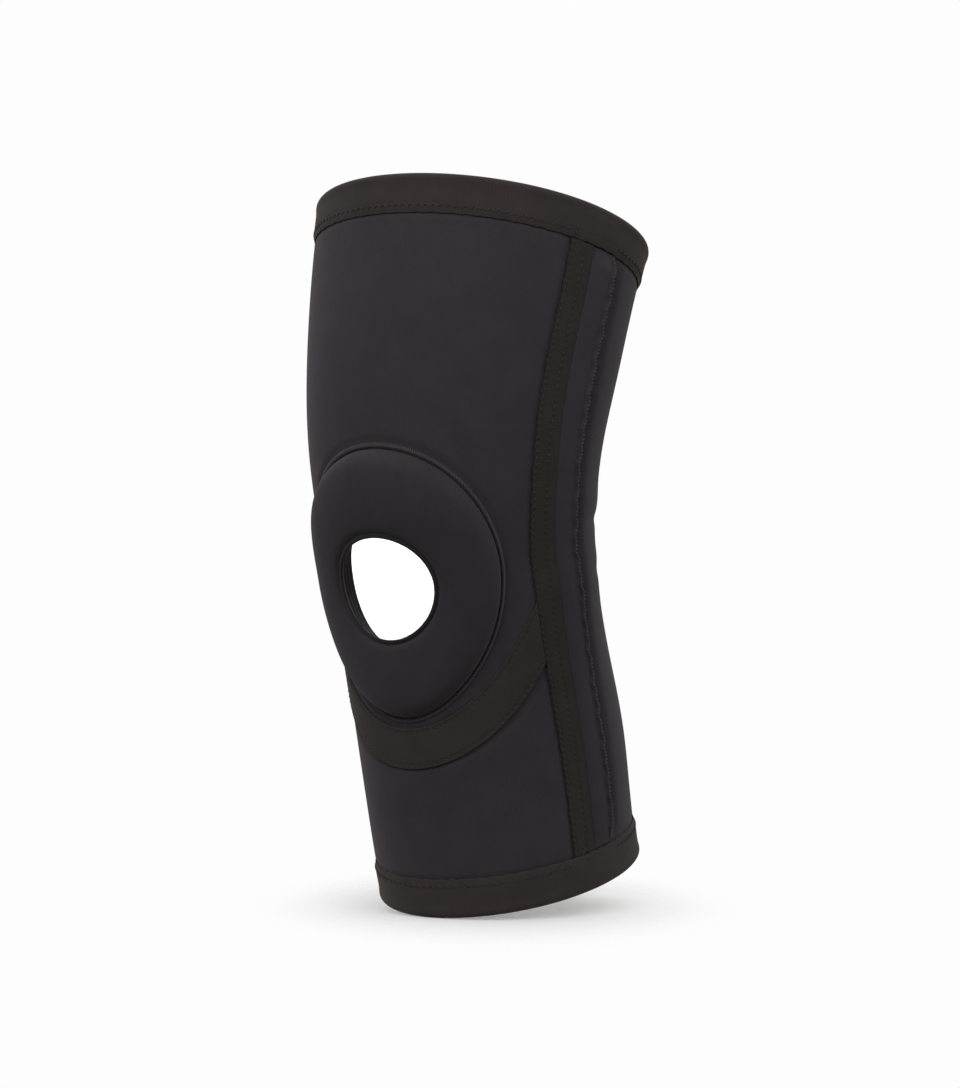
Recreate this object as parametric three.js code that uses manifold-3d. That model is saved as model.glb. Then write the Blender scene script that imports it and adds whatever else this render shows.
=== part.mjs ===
import * as THREE from 'three';
import { ConvexGeometry } from 'three/addons/geometries/ConvexGeometry.js';
import { mergeVertices } from 'three/addons/utils/BufferGeometryUtils.js';
import Module from 'manifold-3d';

// A knee sleeve of neoprene with an open, padded kneecap ring, in the bent form that it has on a leg.
// Lengths are in millimetres and angles in degrees. The origin lies on the leg's centre line, in the
// section through the middle of the kneecap. +Z runs up to the thigh, -Y to the front, where the kneecap
// is, and +X to the wearer's left.

// Length along the leg's centre line, from the middle of the kneecap to each hem
const thighLength = 154.3;
const calfLength = 147.8;

// Width from side to side and depth from front to back, over the neoprene
const thighWidth = 152.5;
const thighDepth = 142;
const kneeWidth = 126;
const kneeDepth = 109;
const calfWidth = 110;
const calfDepth = 129;

// The bend that is sewn into the knee: both ends lean back, and the bend lies between two heights
const thighLean = 16.6;
const calfLean = 15.2;
const bendAbove = 125;
const bendBelow = 25;

// How much each hem is cut longer at the back, as the angle of its plane
const thighHemTilt = 1;
const calfHemTilt = 1.9;

// Thicknesses, and the clearance left between pieces that are sewn together
const neoprene = 3.5;
const tapeThickness = 1;
const bindingThickness = 1.1;
const rimThickness = 0.9;
const pocketThickness = 2.8;
const seamGap = 0.3;

// Widths of the woven trims
const thighBindingWidth = 18;
const calfBindingWidth = 18;
const sideTapeWidth = 12;
const shinTapeWidth = 18;

// The kneecap opening and the padded ring round it: both are egg shapes, broader above
const openingHalfWidth = 24.3;
const openingHalfHeight = 20.3;
const openingRise = 0.6;
const openingEgg = 0.09;
const openingFlare = 5;
const padHalfHeight = 52;
const padDrop = 2.8;
const padEgg = 0.22;
const padCrown = 7.8;
const padToSideTape = 15;

// The seam under the kneecap dips from the side seams to the front of the shin
const padToShinTape = 4.8;
const shinSeamSideDrop = 25;

// Sections of the sleeve. along is a share of the thigh (+) or calf (-) length from the kneecap,
// width and depth say how far the section has gone from the knee's size to the hem's.
const sections = [
  { along: -1.0, width: 1.0, depth: 1.0 },
  { along: -0.6, width: 0.62, depth: 0.66 },
  { along: -0.2, width: 0.33, depth: 0.14 },
  { along: 0.0, width: 0.0, depth: 0.0 },
  { along: 0.2, width: 0.23, depth: 0.2 },
  { along: 0.6, width: 0.64, depth: 0.6 },
  { along: 1.0, width: 1.0, depth: 1.0 },
];

// The side seam and the rear ridge of the stay pocket, as angles round the leg from the front
const sideLines = [
  { along: -1.0, seam: 74.7, ridge: 93.2 },
  { along: -0.55, seam: 74.4, ridge: 92.9 },
  { along: -0.1, seam: 69.8, ridge: 90.2 },
  { along: 0.06, seam: 69.0, ridge: 88.4 },
  { along: 0.4, seam: 71.2, ridge: 90.0 },
  { along: 0.7, seam: 72.5, ridge: 91.0 },
  { along: 1.0, seam: 71.3, ridge: 90.6 },
];

// The pocket across its width, from the side tape to its ridge, with heights as shares of its thickness
const pocketSection = [
  { across: 0.0, height: 0.35 },
  { across: 0.14, height: 0.78 },
  { across: 0.5, height: 0.88 },
  { across: 0.8, height: 0.8 },
  { across: 0.93, height: 1.0 },
  { across: 1.0, height: 0.72 },
];

// The padded ring from its outer edge to the opening, with heights as shares of its crown
const padSection = [
  { across: 0.0, height: 0.1 },
  { across: 0.03, height: 0.38 },
  { across: 0.09, height: 0.68 },
  { across: 0.2, height: 0.9 },
  { across: 0.4, height: 1.0 },
  { across: 0.6, height: 1.0 },
  { across: 0.78, height: 0.94 },
  { across: 0.92, height: 0.84 },
  { across: 1.0, height: 0.66 },
];

// How finely the curved pieces are faceted, and the step that the centre line is followed in
const facetCounts = { around: 48, front: 28, back: 24, length: 18, shin: 7, kneecap: 40, fold: 4 };
const axisStep = 2;

const { lerp, smoothstep, degToRad } = THREE.MathUtils;

// A smooth curve through one column of a table, read at a place along the sleeve
function readTable(rows, column, along) {
  const at = THREE.MathUtils.clamp(along / (along > 0 ? thighLength : calfLength), -1, 1);
  const slope = (i) => {
    const before = rows[Math.max(i - 1, 0)];
    const after = rows[Math.min(i + 1, rows.length - 1)];
    return (after[column] - before[column]) / (after.along - before.along);
  };
  const next = Math.max(1, rows.findIndex((row) => row.along >= at));
  const start = rows[next - 1];
  const end = rows[next];
  const span = end.along - start.along;
  const t = (at - start.along) / span;
  const bend = t * (1 - t) * span;
  return lerp(start[column], end[column], smoothstep(t, 0, 1))
    + bend * ((1 - t) * slope(next - 1) - t * slope(next));
}

function halfWidth(along) {
  return lerp(kneeWidth, along > 0 ? thighWidth : calfWidth, readTable(sections, 'width', along)) / 2;
}

function halfDepth(along) {
  return lerp(kneeDepth, along > 0 ? thighDepth : calfDepth, readTable(sections, 'depth', along)) / 2;
}

function leanAt(along) {
  return degToRad(lerp(-calfLean, thighLean, smoothstep(along, -bendBelow, bendAbove)));
}

// The leg's centre line, followed from the kneecap in short straight steps
function centreLine(along) {
  const count = Math.ceil(Math.abs(along) / axisStep);
  const centre = new THREE.Vector3();
  for (let i = 0; i < count; i++) {
    const lean = leanAt(along * (i + 0.5) / count);
    centre.add(new THREE.Vector3(0, Math.sin(lean), Math.cos(lean)).multiplyScalar(along / count));
  }
  return centre;
}

// A point at a place along the leg and an angle round it, a distance outward of the neoprene's face
function sleevePoint(along, angle, outward) {
  const lean = leanAt(along);
  const side = (halfWidth(along) + outward) * Math.sin(angle);
  const front = (halfDepth(along) + outward) * Math.cos(angle);
  return centreLine(along).add(new THREE.Vector3(side, -front * Math.cos(lean), front * Math.sin(lean)));
}

// The angle that a length takes up round the leg, at a place on the sleeve
function angleOf(length, along, angle) {
  return length / Math.hypot(halfWidth(along) * Math.cos(angle), halfDepth(along) * Math.sin(angle));
}

function seamAngle(along) {
  return degToRad(readTable(sideLines, 'seam', along));
}

// The angle of a line beside the side seam: offset is positive towards the back of the leg
function besideSeam(along, offset) {
  const seam = seamAngle(along);
  return seam + angleOf(offset, along, seam);
}

// Distance from the kneecap to a hem, at an angle round the leg. end is 1 at the thigh and -1 at the calf.
function hemDistance(end, angle) {
  const [length, tilt, depth] = end > 0
    ? [thighLength, thighHemTilt, thighDepth]
    : [calfLength, calfHemTilt, calfDepth];
  return length - Math.tan(degToRad(tilt)) * Math.cos(angle) * depth / 2;
}

// The fold of a binding turns round the middle of the neoprene, which is where a panel ends inside it
const foldRadius = neoprene / 2 + seamGap + bindingThickness;

function panelEnd(end, angle) {
  return end * (hemDistance(end, angle) - foldRadius);
}

function trimEnd(end, angle) {
  const bindingWidth = end > 0 ? thighBindingWidth : calfBindingWidth;
  return end * (hemDistance(end, angle) - bindingWidth - seamGap);
}

// Height of the seam under the kneecap. across runs from 0 at the front to 1 at the side seams.
const shinSeamFrontDrop = padDrop + padHalfHeight + padToShinTape + shinTapeWidth / 2;

function shinSeam(across) {
  return -lerp(shinSeamFrontDrop, shinSeamSideDrop, across * across);
}

// Half of a trim's height where it follows the seam under the kneecap at a slant
function slantedHalf(width, across) {
  const rise = 2 * across * (shinSeamFrontDrop - shinSeamSideDrop);
  const run = seamAngle(-shinSeamSideDrop) * halfWidth(-shinSeamSideDrop);
  return width / 2 * Math.hypot(rise, run) / run;
}

// A closed sheet. place(u, v, face) gives its points, with face 0 inside and 1 outside.
function sheetGeometry(columns, rows, place, loops = false) {
  const across = loops ? columns : columns + 1;
  const positions = [];
  for (const face of [0, 1]) {
    for (let row = 0; row <= rows; row++) {
      for (let column = 0; column < across; column++) {
        positions.push(...place(column / columns, row / rows, face).toArray());
      }
    }
  }
  const inside = (row, column) => row * across + column % across;
  const outside = (row, column) => (rows + 1) * across + inside(row, column);
  const index = [];
  const quad = (a, b, c, d) => index.push(a, b, c, a, c, d);
  for (let column = 0; column < columns; column++) {
    const next = column + 1;
    for (let row = 0; row < rows; row++) {
      quad(outside(row, column), outside(row, next), outside(row + 1, next), outside(row + 1, column));
      quad(inside(row, next), inside(row, column), inside(row + 1, column), inside(row + 1, next));
    }
    quad(inside(0, column), inside(0, next), outside(0, next), outside(0, column));
    quad(outside(rows, column), outside(rows, next), inside(rows, next), inside(rows, column));
  }
  for (let row = 0; row < rows && !loops; row++) {
    const next = row + 1;
    quad(outside(row, 0), outside(next, 0), inside(next, 0), inside(row, 0));
    quad(inside(row, columns), inside(next, columns), outside(next, columns), outside(row, columns));
  }
  const geometry = new THREE.BufferGeometry();
  geometry.setAttribute('position', new THREE.Float32BufferAttribute(positions, 3));
  geometry.setIndex(index);
  return geometry;
}

function neopreneFace(face) {
  return face ? 0 : -neoprene;
}

// The front and shin panels lie between the side seams, from one edge line up to another
function frontSheet(rows, lower, upper) {
  return sheetGeometry(facetCounts.front, rows, (u, v, face) => {
    const across = 2 * u - 1;
    const aim = across * seamAngle(lerp(lower(across, 0), upper(across, 0), v));
    const along = lerp(lower(across, aim), upper(across, aim), v);
    const angle = across * besideSeam(along, -seamGap / 2);
    return sleevePoint(along, angle, neopreneFace(face));
  });
}

function backPanel() {
  return sheetGeometry(facetCounts.back, facetCounts.length, (u, v, face) => {
    const across = 1 - 2 * u;
    const round = (along) => Math.PI - across * (Math.PI - besideSeam(along, seamGap / 2));
    const aim = round(lerp(-calfLength, thighLength, v));
    const along = lerp(panelEnd(-1, aim), panelEnd(1, aim), v);
    return sleevePoint(along, round(along), neopreneFace(face));
  });
}

// A strip along a side of the sleeve, between two offsets from the side seam. side is 1 on the left.
function sideStrip(side, section, edges, thickness) {
  const columns = section.length - 1;
  return sheetGeometry(columns, facetCounts.length, (u, v, face) => {
    const row = section[Math.round((side > 0 ? u : 1 - u) * columns)];
    const aim = seamAngle(lerp(-calfLength, thighLength, v));
    const along = lerp(trimEnd(-1, aim), trimEnd(1, aim), v);
    const [front, rear] = edges(along);
    const height = face ? thickness * row.height : 0;
    return sleevePoint(along, side * lerp(front, rear, row.across), seamGap + height);
  });
}

const flatSection = [0, 0.5, 1].map((across) => ({ across, height: 1 }));

function sideTape(side) {
  const edges = (along) => [besideSeam(along, -sideTapeWidth / 2), besideSeam(along, sideTapeWidth / 2)];
  return sideStrip(side, flatSection, edges, tapeThickness);
}

function stayPocket(side) {
  const edges = (along) => [
    besideSeam(along, sideTapeWidth / 2 + seamGap),
    degToRad(readTable(sideLines, 'ridge', along)),
  ];
  return sideStrip(side, pocketSection, edges, pocketThickness);
}

// The tape over the seam under the kneecap, which ends at the side tapes
function shinTape() {
  return sheetGeometry(facetCounts.front, flatSection.length - 1, (u, v, face) => {
    const across = 2 * u - 1;
    const half = slantedHalf(shinTapeWidth, across);
    const along = shinSeam(across) + lerp(-half, half, v);
    const angle = across * besideSeam(along, -sideTapeWidth / 2 - seamGap);
    return sleevePoint(along, angle, seamGap + (face ? tapeThickness : 0));
  });
}

// A binding folded over a hem: up its outer leg, round the fold and down its inner leg
function hemBinding(end, width) {
  const rows = facetCounts.fold + 2;
  return sheetGeometry(facetCounts.around, rows, (u, v, face) => {
    const angle = 2 * Math.PI * u;
    const row = Math.round((end > 0 ? v : 1 - v) * rows);
    const turn = Math.PI * THREE.MathUtils.clamp((row - 1) / facetCounts.fold, 0, 1);
    const radius = foldRadius - (face ? 0 : bindingThickness);
    const onLeg = row === 0 || row === rows;
    const inset = onLeg ? width : foldRadius - radius * Math.sin(turn);
    const along = end * (hemDistance(end, angle) - inset);
    return sleevePoint(along, angle, radius * Math.cos(turn) - neoprene / 2);
  }, true);
}

// A point on an egg-shaped ring round the kneecap, at a turn round the ring
function kneecapPoint(ring, turn, outward) {
  const along = ring.centre + ring.halfHeight * Math.sin(turn);
  const across = ring.halfWidth * Math.cos(turn) * (1 + ring.egg * Math.sin(turn));
  return sleevePoint(along, across / halfWidth(along), outward);
}

// The ring of the opening, grown by a margin
function openingRing(margin) {
  return {
    centre: openingRise,
    halfHeight: openingHalfHeight + margin,
    halfWidth: openingHalfWidth + margin,
    egg: openingEgg,
  };
}

// What is sewn to the rim stops clear of it. The opening flares from the pad's lip to the leg's side.
const lipHeight = seamGap + padCrown * padSection[padSection.length - 1].height;

function flareAt(height) {
  return openingFlare * (lipHeight - height) / (lipHeight + neoprene);
}

function sewnRing(height) {
  return openingRing(rimThickness + seamGap + flareAt(height));
}

const padRing = {
  centre: -padDrop,
  halfHeight: padHalfHeight,
  halfWidth: besideSeam(0, -sideTapeWidth / 2 - padToSideTape) * kneeWidth / 2,
  egg: padEgg,
};

function blendRings(from, to, share) {
  const blend = (name) => lerp(from[name], to[name], share);
  return {
    centre: blend('centre'),
    halfHeight: blend('halfHeight'),
    halfWidth: blend('halfWidth'),
    egg: blend('egg'),
  };
}

function patellaPad() {
  const rows = padSection.length - 1;
  return sheetGeometry(facetCounts.kneecap, rows, (u, v, face) => {
    const row = padSection[Math.round(v * rows)];
    const height = seamGap + (face ? padCrown * row.height : 0);
    return kneecapPoint(blendRings(padRing, sewnRing(height), row.across), 2 * Math.PI * u, height);
  }, true);
}

// The bound edge of the opening, a band from behind the neoprene to just proud of the pad's lip
function patellaRim() {
  return sheetGeometry(facetCounts.kneecap, 1, (u, v, face) => {
    const height = lerp(lipHeight + rimThickness / 2, -neoprene - rimThickness / 2, v);
    const ring = openingRing(flareAt(height) + (face ? 0 : rimThickness));
    return kneecapPoint(ring, 2 * Math.PI * u, height);
  }, true);
}

// The plug that the opening is cut with reaches past both faces, and over the bulge of the panel inside it
function openingPlug() {
  const bulge = openingHalfWidth ** 2 / kneeWidth;
  const points = [];
  for (let i = 0; i < facetCounts.kneecap; i++) {
    const turn = 2 * Math.PI * i / facetCounts.kneecap;
    for (const height of [bulge + neoprene, 0, -neoprene - rimThickness]) {
      points.push(kneecapPoint(sewnRing(height), turn, height));
    }
  }
  return new ConvexGeometry(points);
}

const wasm = await Module();
wasm.setup();

function toManifold(geometry) {
  const bare = geometry.clone();
  bare.deleteAttribute('normal');
  bare.deleteAttribute('uv');
  const merged = mergeVertices(bare);
  return new wasm.Manifold(new wasm.Mesh({
    numProp: 3,
    vertProperties: merged.attributes.position.array,
    triVerts: new Uint32Array(merged.index.array),
  }));
}

function fromManifold(solid) {
  const mesh = solid.getMesh();
  const geometry = new THREE.BufferGeometry();
  geometry.setAttribute('position', new THREE.Float32BufferAttribute(mesh.vertProperties, 3));
  geometry.setIndex(Array.from(mesh.triVerts));
  return geometry;
}

function frontPanel() {
  const sheet = frontSheet(
    facetCounts.length,
    (across) => shinSeam(across) + seamGap / 2,
    (across, angle) => panelEnd(1, angle),
  );
  return fromManifold(toManifold(sheet).subtract(toManifold(openingPlug())));
}

function shinPanel() {
  return frontSheet(
    facetCounts.shin,
    (across, angle) => panelEnd(-1, angle),
    (across) => shinSeam(across) - seamGap / 2,
  );
}

const neopreneFinish = { color: 0x2d2b2e, roughness: 0.85, metalness: 0 };
const padFinish = { color: 0x302d31, roughness: 0.8, metalness: 0 };
const tapeFinish = { color: 0x2e2a27, roughness: 0.9, metalness: 0 };

const sleeve = new THREE.Group();

function addPiece(name, geometry, finish) {
  const mesh = new THREE.Mesh(geometry, new THREE.MeshStandardMaterial(finish));
  mesh.name = name;
  sleeve.add(mesh);
}

addPiece('front_panel', frontPanel(), neopreneFinish);
addPiece('shin_panel', shinPanel(), neopreneFinish);
addPiece('back_panel', backPanel(), neopreneFinish);
addPiece('patella_pad', patellaPad(), padFinish);
addPiece('patella_rim', patellaRim(), tapeFinish);
for (const [name, side] of [['left', 1], ['right', -1]]) {
  addPiece(`stay_pocket_${name}`, stayPocket(side), neopreneFinish);
  addPiece(`side_tape_${name}`, sideTape(side), tapeFinish);
}
addPiece('shin_tape', shinTape(), tapeFinish);
addPiece('thigh_binding', hemBinding(1, thighBindingWidth), tapeFinish);
addPiece('calf_binding', hemBinding(-1, calfBindingWidth), tapeFinish);

export default sleeve;
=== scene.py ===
# %% [markdown]
# # A knee sleeve, from its solids to its cloth
# The part is a pre-bent neoprene knee support: three panels sewn to a tube, a padded ring round the
# kneecap opening, a stay pocket down each side, woven tapes over the seams and bound hems.
# Its solids are packed and stay where they are. This lesson builds the cloth over them: each piece
# lies where its solid lies, so nothing has to be fitted afterwards. First the solids are loaded and
# their box is kept, whose lowest point sets the floor.

# %% Load the frame
import math

import bmesh
import bpy
import numpy as np
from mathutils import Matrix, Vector


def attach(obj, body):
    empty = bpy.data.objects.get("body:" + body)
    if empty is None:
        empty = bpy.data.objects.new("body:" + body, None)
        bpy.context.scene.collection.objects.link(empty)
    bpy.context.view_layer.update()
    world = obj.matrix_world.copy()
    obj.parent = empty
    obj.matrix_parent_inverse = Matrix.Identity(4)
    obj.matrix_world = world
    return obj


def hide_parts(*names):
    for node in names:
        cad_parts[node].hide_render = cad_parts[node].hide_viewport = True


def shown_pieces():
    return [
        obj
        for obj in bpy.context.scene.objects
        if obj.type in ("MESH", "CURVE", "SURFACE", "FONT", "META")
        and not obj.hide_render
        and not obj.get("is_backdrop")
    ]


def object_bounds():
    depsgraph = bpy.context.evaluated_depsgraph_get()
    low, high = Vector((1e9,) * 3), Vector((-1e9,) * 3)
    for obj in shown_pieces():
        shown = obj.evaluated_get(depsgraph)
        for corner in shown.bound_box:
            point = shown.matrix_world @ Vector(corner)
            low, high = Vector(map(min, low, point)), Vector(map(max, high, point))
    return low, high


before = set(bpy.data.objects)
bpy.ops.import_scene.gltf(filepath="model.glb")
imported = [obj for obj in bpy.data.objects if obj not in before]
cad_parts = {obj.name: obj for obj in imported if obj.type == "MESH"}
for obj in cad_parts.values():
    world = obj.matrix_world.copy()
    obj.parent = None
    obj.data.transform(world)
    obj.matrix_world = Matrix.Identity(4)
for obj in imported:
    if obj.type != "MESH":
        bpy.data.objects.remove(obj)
cad_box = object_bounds()
print("solids:", ", ".join(sorted(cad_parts)))

# %% [markdown]
# ## The sleeve's own two directions
# A tailor never thinks of a sleeve in x, y and z. A point on it lies so far along the leg and so far
# round it. One function that turns those two into a point in space makes every piece easy: a seam is
# a line in them, a stitch a short step. The alternative, pulling a cage of vertices about by hand,
# would have to be done again for every piece and would not keep the pieces apart.
# Lengths are in millimetres, and the values are the driving dimensions of the part itself.

# %% Driving dimensions of the sleeve
MM = 0.001
THIGH_LENGTH = 154.3
CALF_LENGTH = 147.8
THIGH_WIDTH, THIGH_DEPTH = 152.5, 142
KNEE_WIDTH, KNEE_DEPTH = 126, 109
CALF_WIDTH, CALF_DEPTH = 110, 129
THIGH_LEAN, CALF_LEAN = 16.6, 15.2
BEND_ABOVE, BEND_BELOW = 125, 25
THIGH_HEM_TILT, CALF_HEM_TILT = 1, 1.9
NEOPRENE = 3.5
SEAM_GAP = 0.3
BINDING_WIDTH = 18

SECTIONS = {
    "along": (-1.0, -0.6, -0.2, 0.0, 0.2, 0.6, 1.0),
    "width": (1.0, 0.62, 0.33, 0.0, 0.23, 0.64, 1.0),
    "depth": (1.0, 0.66, 0.14, 0.0, 0.2, 0.6, 1.0),
}
SIDE_LINES = {
    "along": (-1.0, -0.55, -0.1, 0.06, 0.4, 0.7, 1.0),
    "seam": (74.7, 74.4, 69.8, 69.0, 71.2, 72.5, 71.3),
    "ridge": (93.2, 92.9, 90.2, 88.4, 90.0, 91.0, 90.6),
}
print("length along the leg, mm:", round(THIGH_LENGTH + CALF_LENGTH, 1))

# %% [markdown]
# ## Reading the tables
# A pattern maker notes a few girths and draws a smooth curve through them. The two tables are that:
# widths and depths as shares of the way from knee to hem, and side lines in degrees from the front.
# One small curve function reads both. A curve object could hold them too, but a function can be asked
# for any place at once. The lean of the leg is an eased turn from the calf's lean to the thigh's,
# which is how the sleeve is sewn, bent at the knee.

# %% Widths, depths and lean
def blend(start, end, share):
    """A value part of the way from start to end."""
    return start + (end - start) * share


def ease(share):
    """A share from 0 to 1 that starts and stops softly."""
    share = np.clip(share, 0, 1)
    return share * share * (3 - 2 * share)


def curve_through(xs, ys, at):
    """A smooth curve through the points of a short table."""
    xs, ys = np.array(xs, float), np.array(ys, float)
    slope = np.gradient(ys, xs, edge_order=1)
    slope[1:-1] = (ys[2:] - ys[:-2]) / (xs[2:] - xs[:-2])
    after = np.clip(np.searchsorted(xs, at), 1, len(xs) - 1)
    before = after - 1
    span = xs[after] - xs[before]
    t = (at - xs[before]) / span
    swing = t * (1 - t) * span * ((1 - t) * slope[before] - t * slope[after])
    return blend(ys[before], ys[after], ease(t)) + swing


def read_table(table, column, along):
    """One column of a table, read at places along the sleeve."""
    share = along / np.where(np.asarray(along) > 0, THIGH_LENGTH, CALF_LENGTH)
    return curve_through(table["along"], table[column], np.clip(share, -1, 1))


def half_width(along):
    """Half of the sleeve's width from side to side."""
    hem = np.where(np.asarray(along) > 0, THIGH_WIDTH, CALF_WIDTH)
    return blend(KNEE_WIDTH, hem, read_table(SECTIONS, "width", along)) / 2


def half_depth(along):
    """Half of the sleeve's depth from front to back."""
    hem = np.where(np.asarray(along) > 0, THIGH_DEPTH, CALF_DEPTH)
    return blend(KNEE_DEPTH, hem, read_table(SECTIONS, "depth", along)) / 2


def lean_at(along):
    """How far the leg leans back, in radians: the bend that is sewn into the knee."""
    share = ease((np.asarray(along) + BEND_BELOW) / (BEND_ABOVE + BEND_BELOW))
    return np.radians(blend(-CALF_LEAN, THIGH_LEAN, share))


calf_knee_thigh = np.array([-CALF_LENGTH, 0, THIGH_LENGTH])
print("half widths at calf hem, knee and thigh hem, mm:", half_width(calf_knee_thigh).tolist())

# %% [markdown]
# ## The leg's centre line and the skin
# The centre line is followed in steps of half a millimetre once, and read by interpolation after that.
# Worn cloth is never as even as a formula, so the skin also has slow waves of a quarter of a
# millimetre, two creases with a soft roll beside them in the hollow of the knee, and a few places
# where thigh and calf fill the cloth out. Sculpting could do that too, but a short table can be read
# and changed. They are part of the skin itself, so tapes and stitches on it rise and sink with it.

# %% The centre line
LINE_STEP = 0.5
line_along = np.arange(-CALF_LENGTH, THIGH_LENGTH + LINE_STEP, LINE_STEP)
steps_lean = lean_at(line_along[:-1] + LINE_STEP / 2)
line_y = np.concatenate([[0], np.cumsum(np.sin(steps_lean) * LINE_STEP)])
line_z = np.concatenate([[0], np.cumsum(np.cos(steps_lean) * LINE_STEP)])
line_y -= np.interp(0, line_along, line_y)
line_z -= np.interp(0, line_along, line_z)
print("the centre line's height, mm:", round(float(line_z[0]), 1), "to", round(float(line_z[-1]), 1))

# %% Waves, creases and fuller places
WAVES = {"height": (0.16, 0.12), "length": (21, 13), "turns": (2, -3), "shift": (0, 1)}
CREASES = {"centre": (18, 27, -7), "depth": (1.7, -0.9, 1.2), "width": (3.2, 7.0, 4.0)}
CREASE_REACH = 105
CREASE_SLANT = 3
FULLNESS = {
    "along": (-92, 88, 128, -132),
    "along_reach": (34, 42, 40, 30),
    "turn": (126, 126, 54, 54),
    "turn_reach": (38, 38, 34, 34),
    "height": (1.5, 1.1, 1.2, 1.0),
}


def either_way(angle):
    """The angle from the front, from 0 to half a turn, whichever way round it is."""
    return np.abs(np.arctan2(np.sin(angle), np.cos(angle)))


def unevenness(along, angle):
    """How far worn cloth stands proud of the even form, or dips below it, in millimetres."""
    proud = 0.0
    for height, length, turns, shift in zip(*WAVES.values()):
        proud = proud + height * np.sin(along / length + turns * angle + shift)
    turned = np.degrees(either_way(angle))
    window = ease(1 - (180 - turned) / CREASE_REACH)
    for centre, depth, width in zip(*CREASES.values()):
        slanted = centre + CREASE_SLANT * np.sin(2 * angle)
        proud = proud - depth * window * np.exp(-((along - slanted) / width) ** 2)
    for centre, reach, turn, turn_reach, height in zip(*FULLNESS.values()):
        away = ((along - centre) / reach) ** 2 + ((turned - turn) / turn_reach) ** 2
        proud = proud + height * np.exp(-away)
    return proud


print("deepest crease behind the knee, mm:", round(float(unevenness(line_along, np.pi).min()), 2))


# %% The skin
def skin(along, angle, outward):
    """Points at places along the leg and angles round it, a distance outward of the neoprene's face."""
    along, angle, outward = np.broadcast_arrays(along, angle, outward)
    outward = outward + unevenness(along, angle)
    lean = lean_at(along)
    side = (half_width(along) + outward) * np.sin(angle)
    front = (half_depth(along) + outward) * np.cos(angle)
    centre_y = np.interp(along, line_along, line_y)
    centre_z = np.interp(along, line_along, line_z)
    return np.stack([side, centre_y - front * np.cos(lean), centre_z + front * np.sin(lean)], -1)


def millimetres_round(along, angle):
    """Length along the cloth, in millimetres, of one radian round the leg."""
    return np.hypot(half_width(along) * np.cos(angle), half_depth(along) * np.sin(angle))


hems = skin(calf_knee_thigh[[0, 2]], np.pi, 0)
print("the skin's hems at the back, mm:", np.round(hems, 1).tolist())

# %% [markdown]
# ## Seams and hems as lines on the skin
# Pieces that are sewn together share a line: the side seam, the ridge of the stay pocket behind it,
# and the hems, which are cut at a slight tilt. Each line is one function of the place along the leg
# or round it, so the pieces meet on it whatever is changed. Edges marked in each mesh by hand would
# drift apart.

# %% Seams and hems
def seam_angle(along):
    """The angle of the left side seam."""
    return np.radians(read_table(SIDE_LINES, "seam", along))


def ridge_angle(along):
    """The angle of the rear ridge of the left stay pocket."""
    return np.radians(read_table(SIDE_LINES, "ridge", along))


def beside_seam(along, offset):
    """The angle of a line beside the left side seam, with offset positive towards the back."""
    seam = seam_angle(along)
    return seam + offset / millimetres_round(along, seam)


def hem_distance(end, angle):
    """Distance from the kneecap to a hem. end is 1 at the thigh and -1 at the calf."""
    length = THIGH_LENGTH if end > 0 else CALF_LENGTH
    tilt = THIGH_HEM_TILT if end > 0 else CALF_HEM_TILT
    depth = THIGH_DEPTH if end > 0 else CALF_DEPTH
    return length - math.tan(math.radians(tilt)) * np.cos(angle) * depth / 2


print("the side seam at the knee, degrees from the front:", round(math.degrees(seam_angle(0)), 1))

# %% [markdown]
# ## Rings round the kneecap, and the shin seam
# The kneecap shapes are egg rings: an ellipse that is broader above. The seam under the kneecap dips
# in a parabola from the side seams to the shin. Both are needed by several pieces, so each is one
# small function.

# %% The pad's ring
PAD_DROP, PAD_HALF_HEIGHT, PAD_EGG = 2.8, 52, 0.22
SIDE_TAPE_WIDTH = 12
PAD_TO_SIDE_TAPE = 15
PAD_RING = {
    "centre": -PAD_DROP,
    "half_height": PAD_HALF_HEIGHT,
    "half_width": float(beside_seam(0, -SIDE_TAPE_WIDTH / 2 - PAD_TO_SIDE_TAPE)) * KNEE_WIDTH / 2,
    "egg": PAD_EGG,
}


def kneecap_point(ring, turn, outward):
    """Points on an egg ring round the kneecap, at turns round the ring."""
    along = ring["centre"] + ring["half_height"] * np.sin(turn)
    across = ring["half_width"] * np.cos(turn) * (1 + ring["egg"] * np.sin(turn))
    return skin(along, across / half_width(along), outward)


def outside_ring(ring, along, angle):
    """Rough distance from a ring to points on the skin, positive outside it."""
    rise = (along - ring["centre"]) / ring["half_height"]
    run = angle * half_width(along) / (ring["half_width"] * (1 + ring["egg"] * np.clip(rise, -1, 1)))
    return (np.hypot(rise, run) - 1) * (ring["half_height"] + ring["half_width"]) / 2


print("pad, half height and half width, mm:", PAD_HALF_HEIGHT, round(PAD_RING["half_width"], 1))

# %% The shin seam
PAD_TO_SHIN_TAPE = 4.8
SHIN_TAPE_WIDTH = 18
SHIN_SEAM_FRONT = PAD_DROP + PAD_HALF_HEIGHT + PAD_TO_SHIN_TAPE + SHIN_TAPE_WIDTH / 2
SHIN_SEAM_SIDE = 25


def shin_seam(across):
    """Height of the seam under the kneecap. across runs from 0 at the front to 1 at a side seam."""
    return -blend(SHIN_SEAM_FRONT, SHIN_SEAM_SIDE, across * across)


def shin_slant(across):
    """How much longer a trim is up the leg where it follows the shin seam at a slant."""
    rise = 2 * across * (SHIN_SEAM_FRONT - SHIN_SEAM_SIDE)
    run = float(seam_angle(-SHIN_SEAM_SIDE) * half_width(-SHIN_SEAM_SIDE))
    return np.hypot(rise, run) / run


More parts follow.
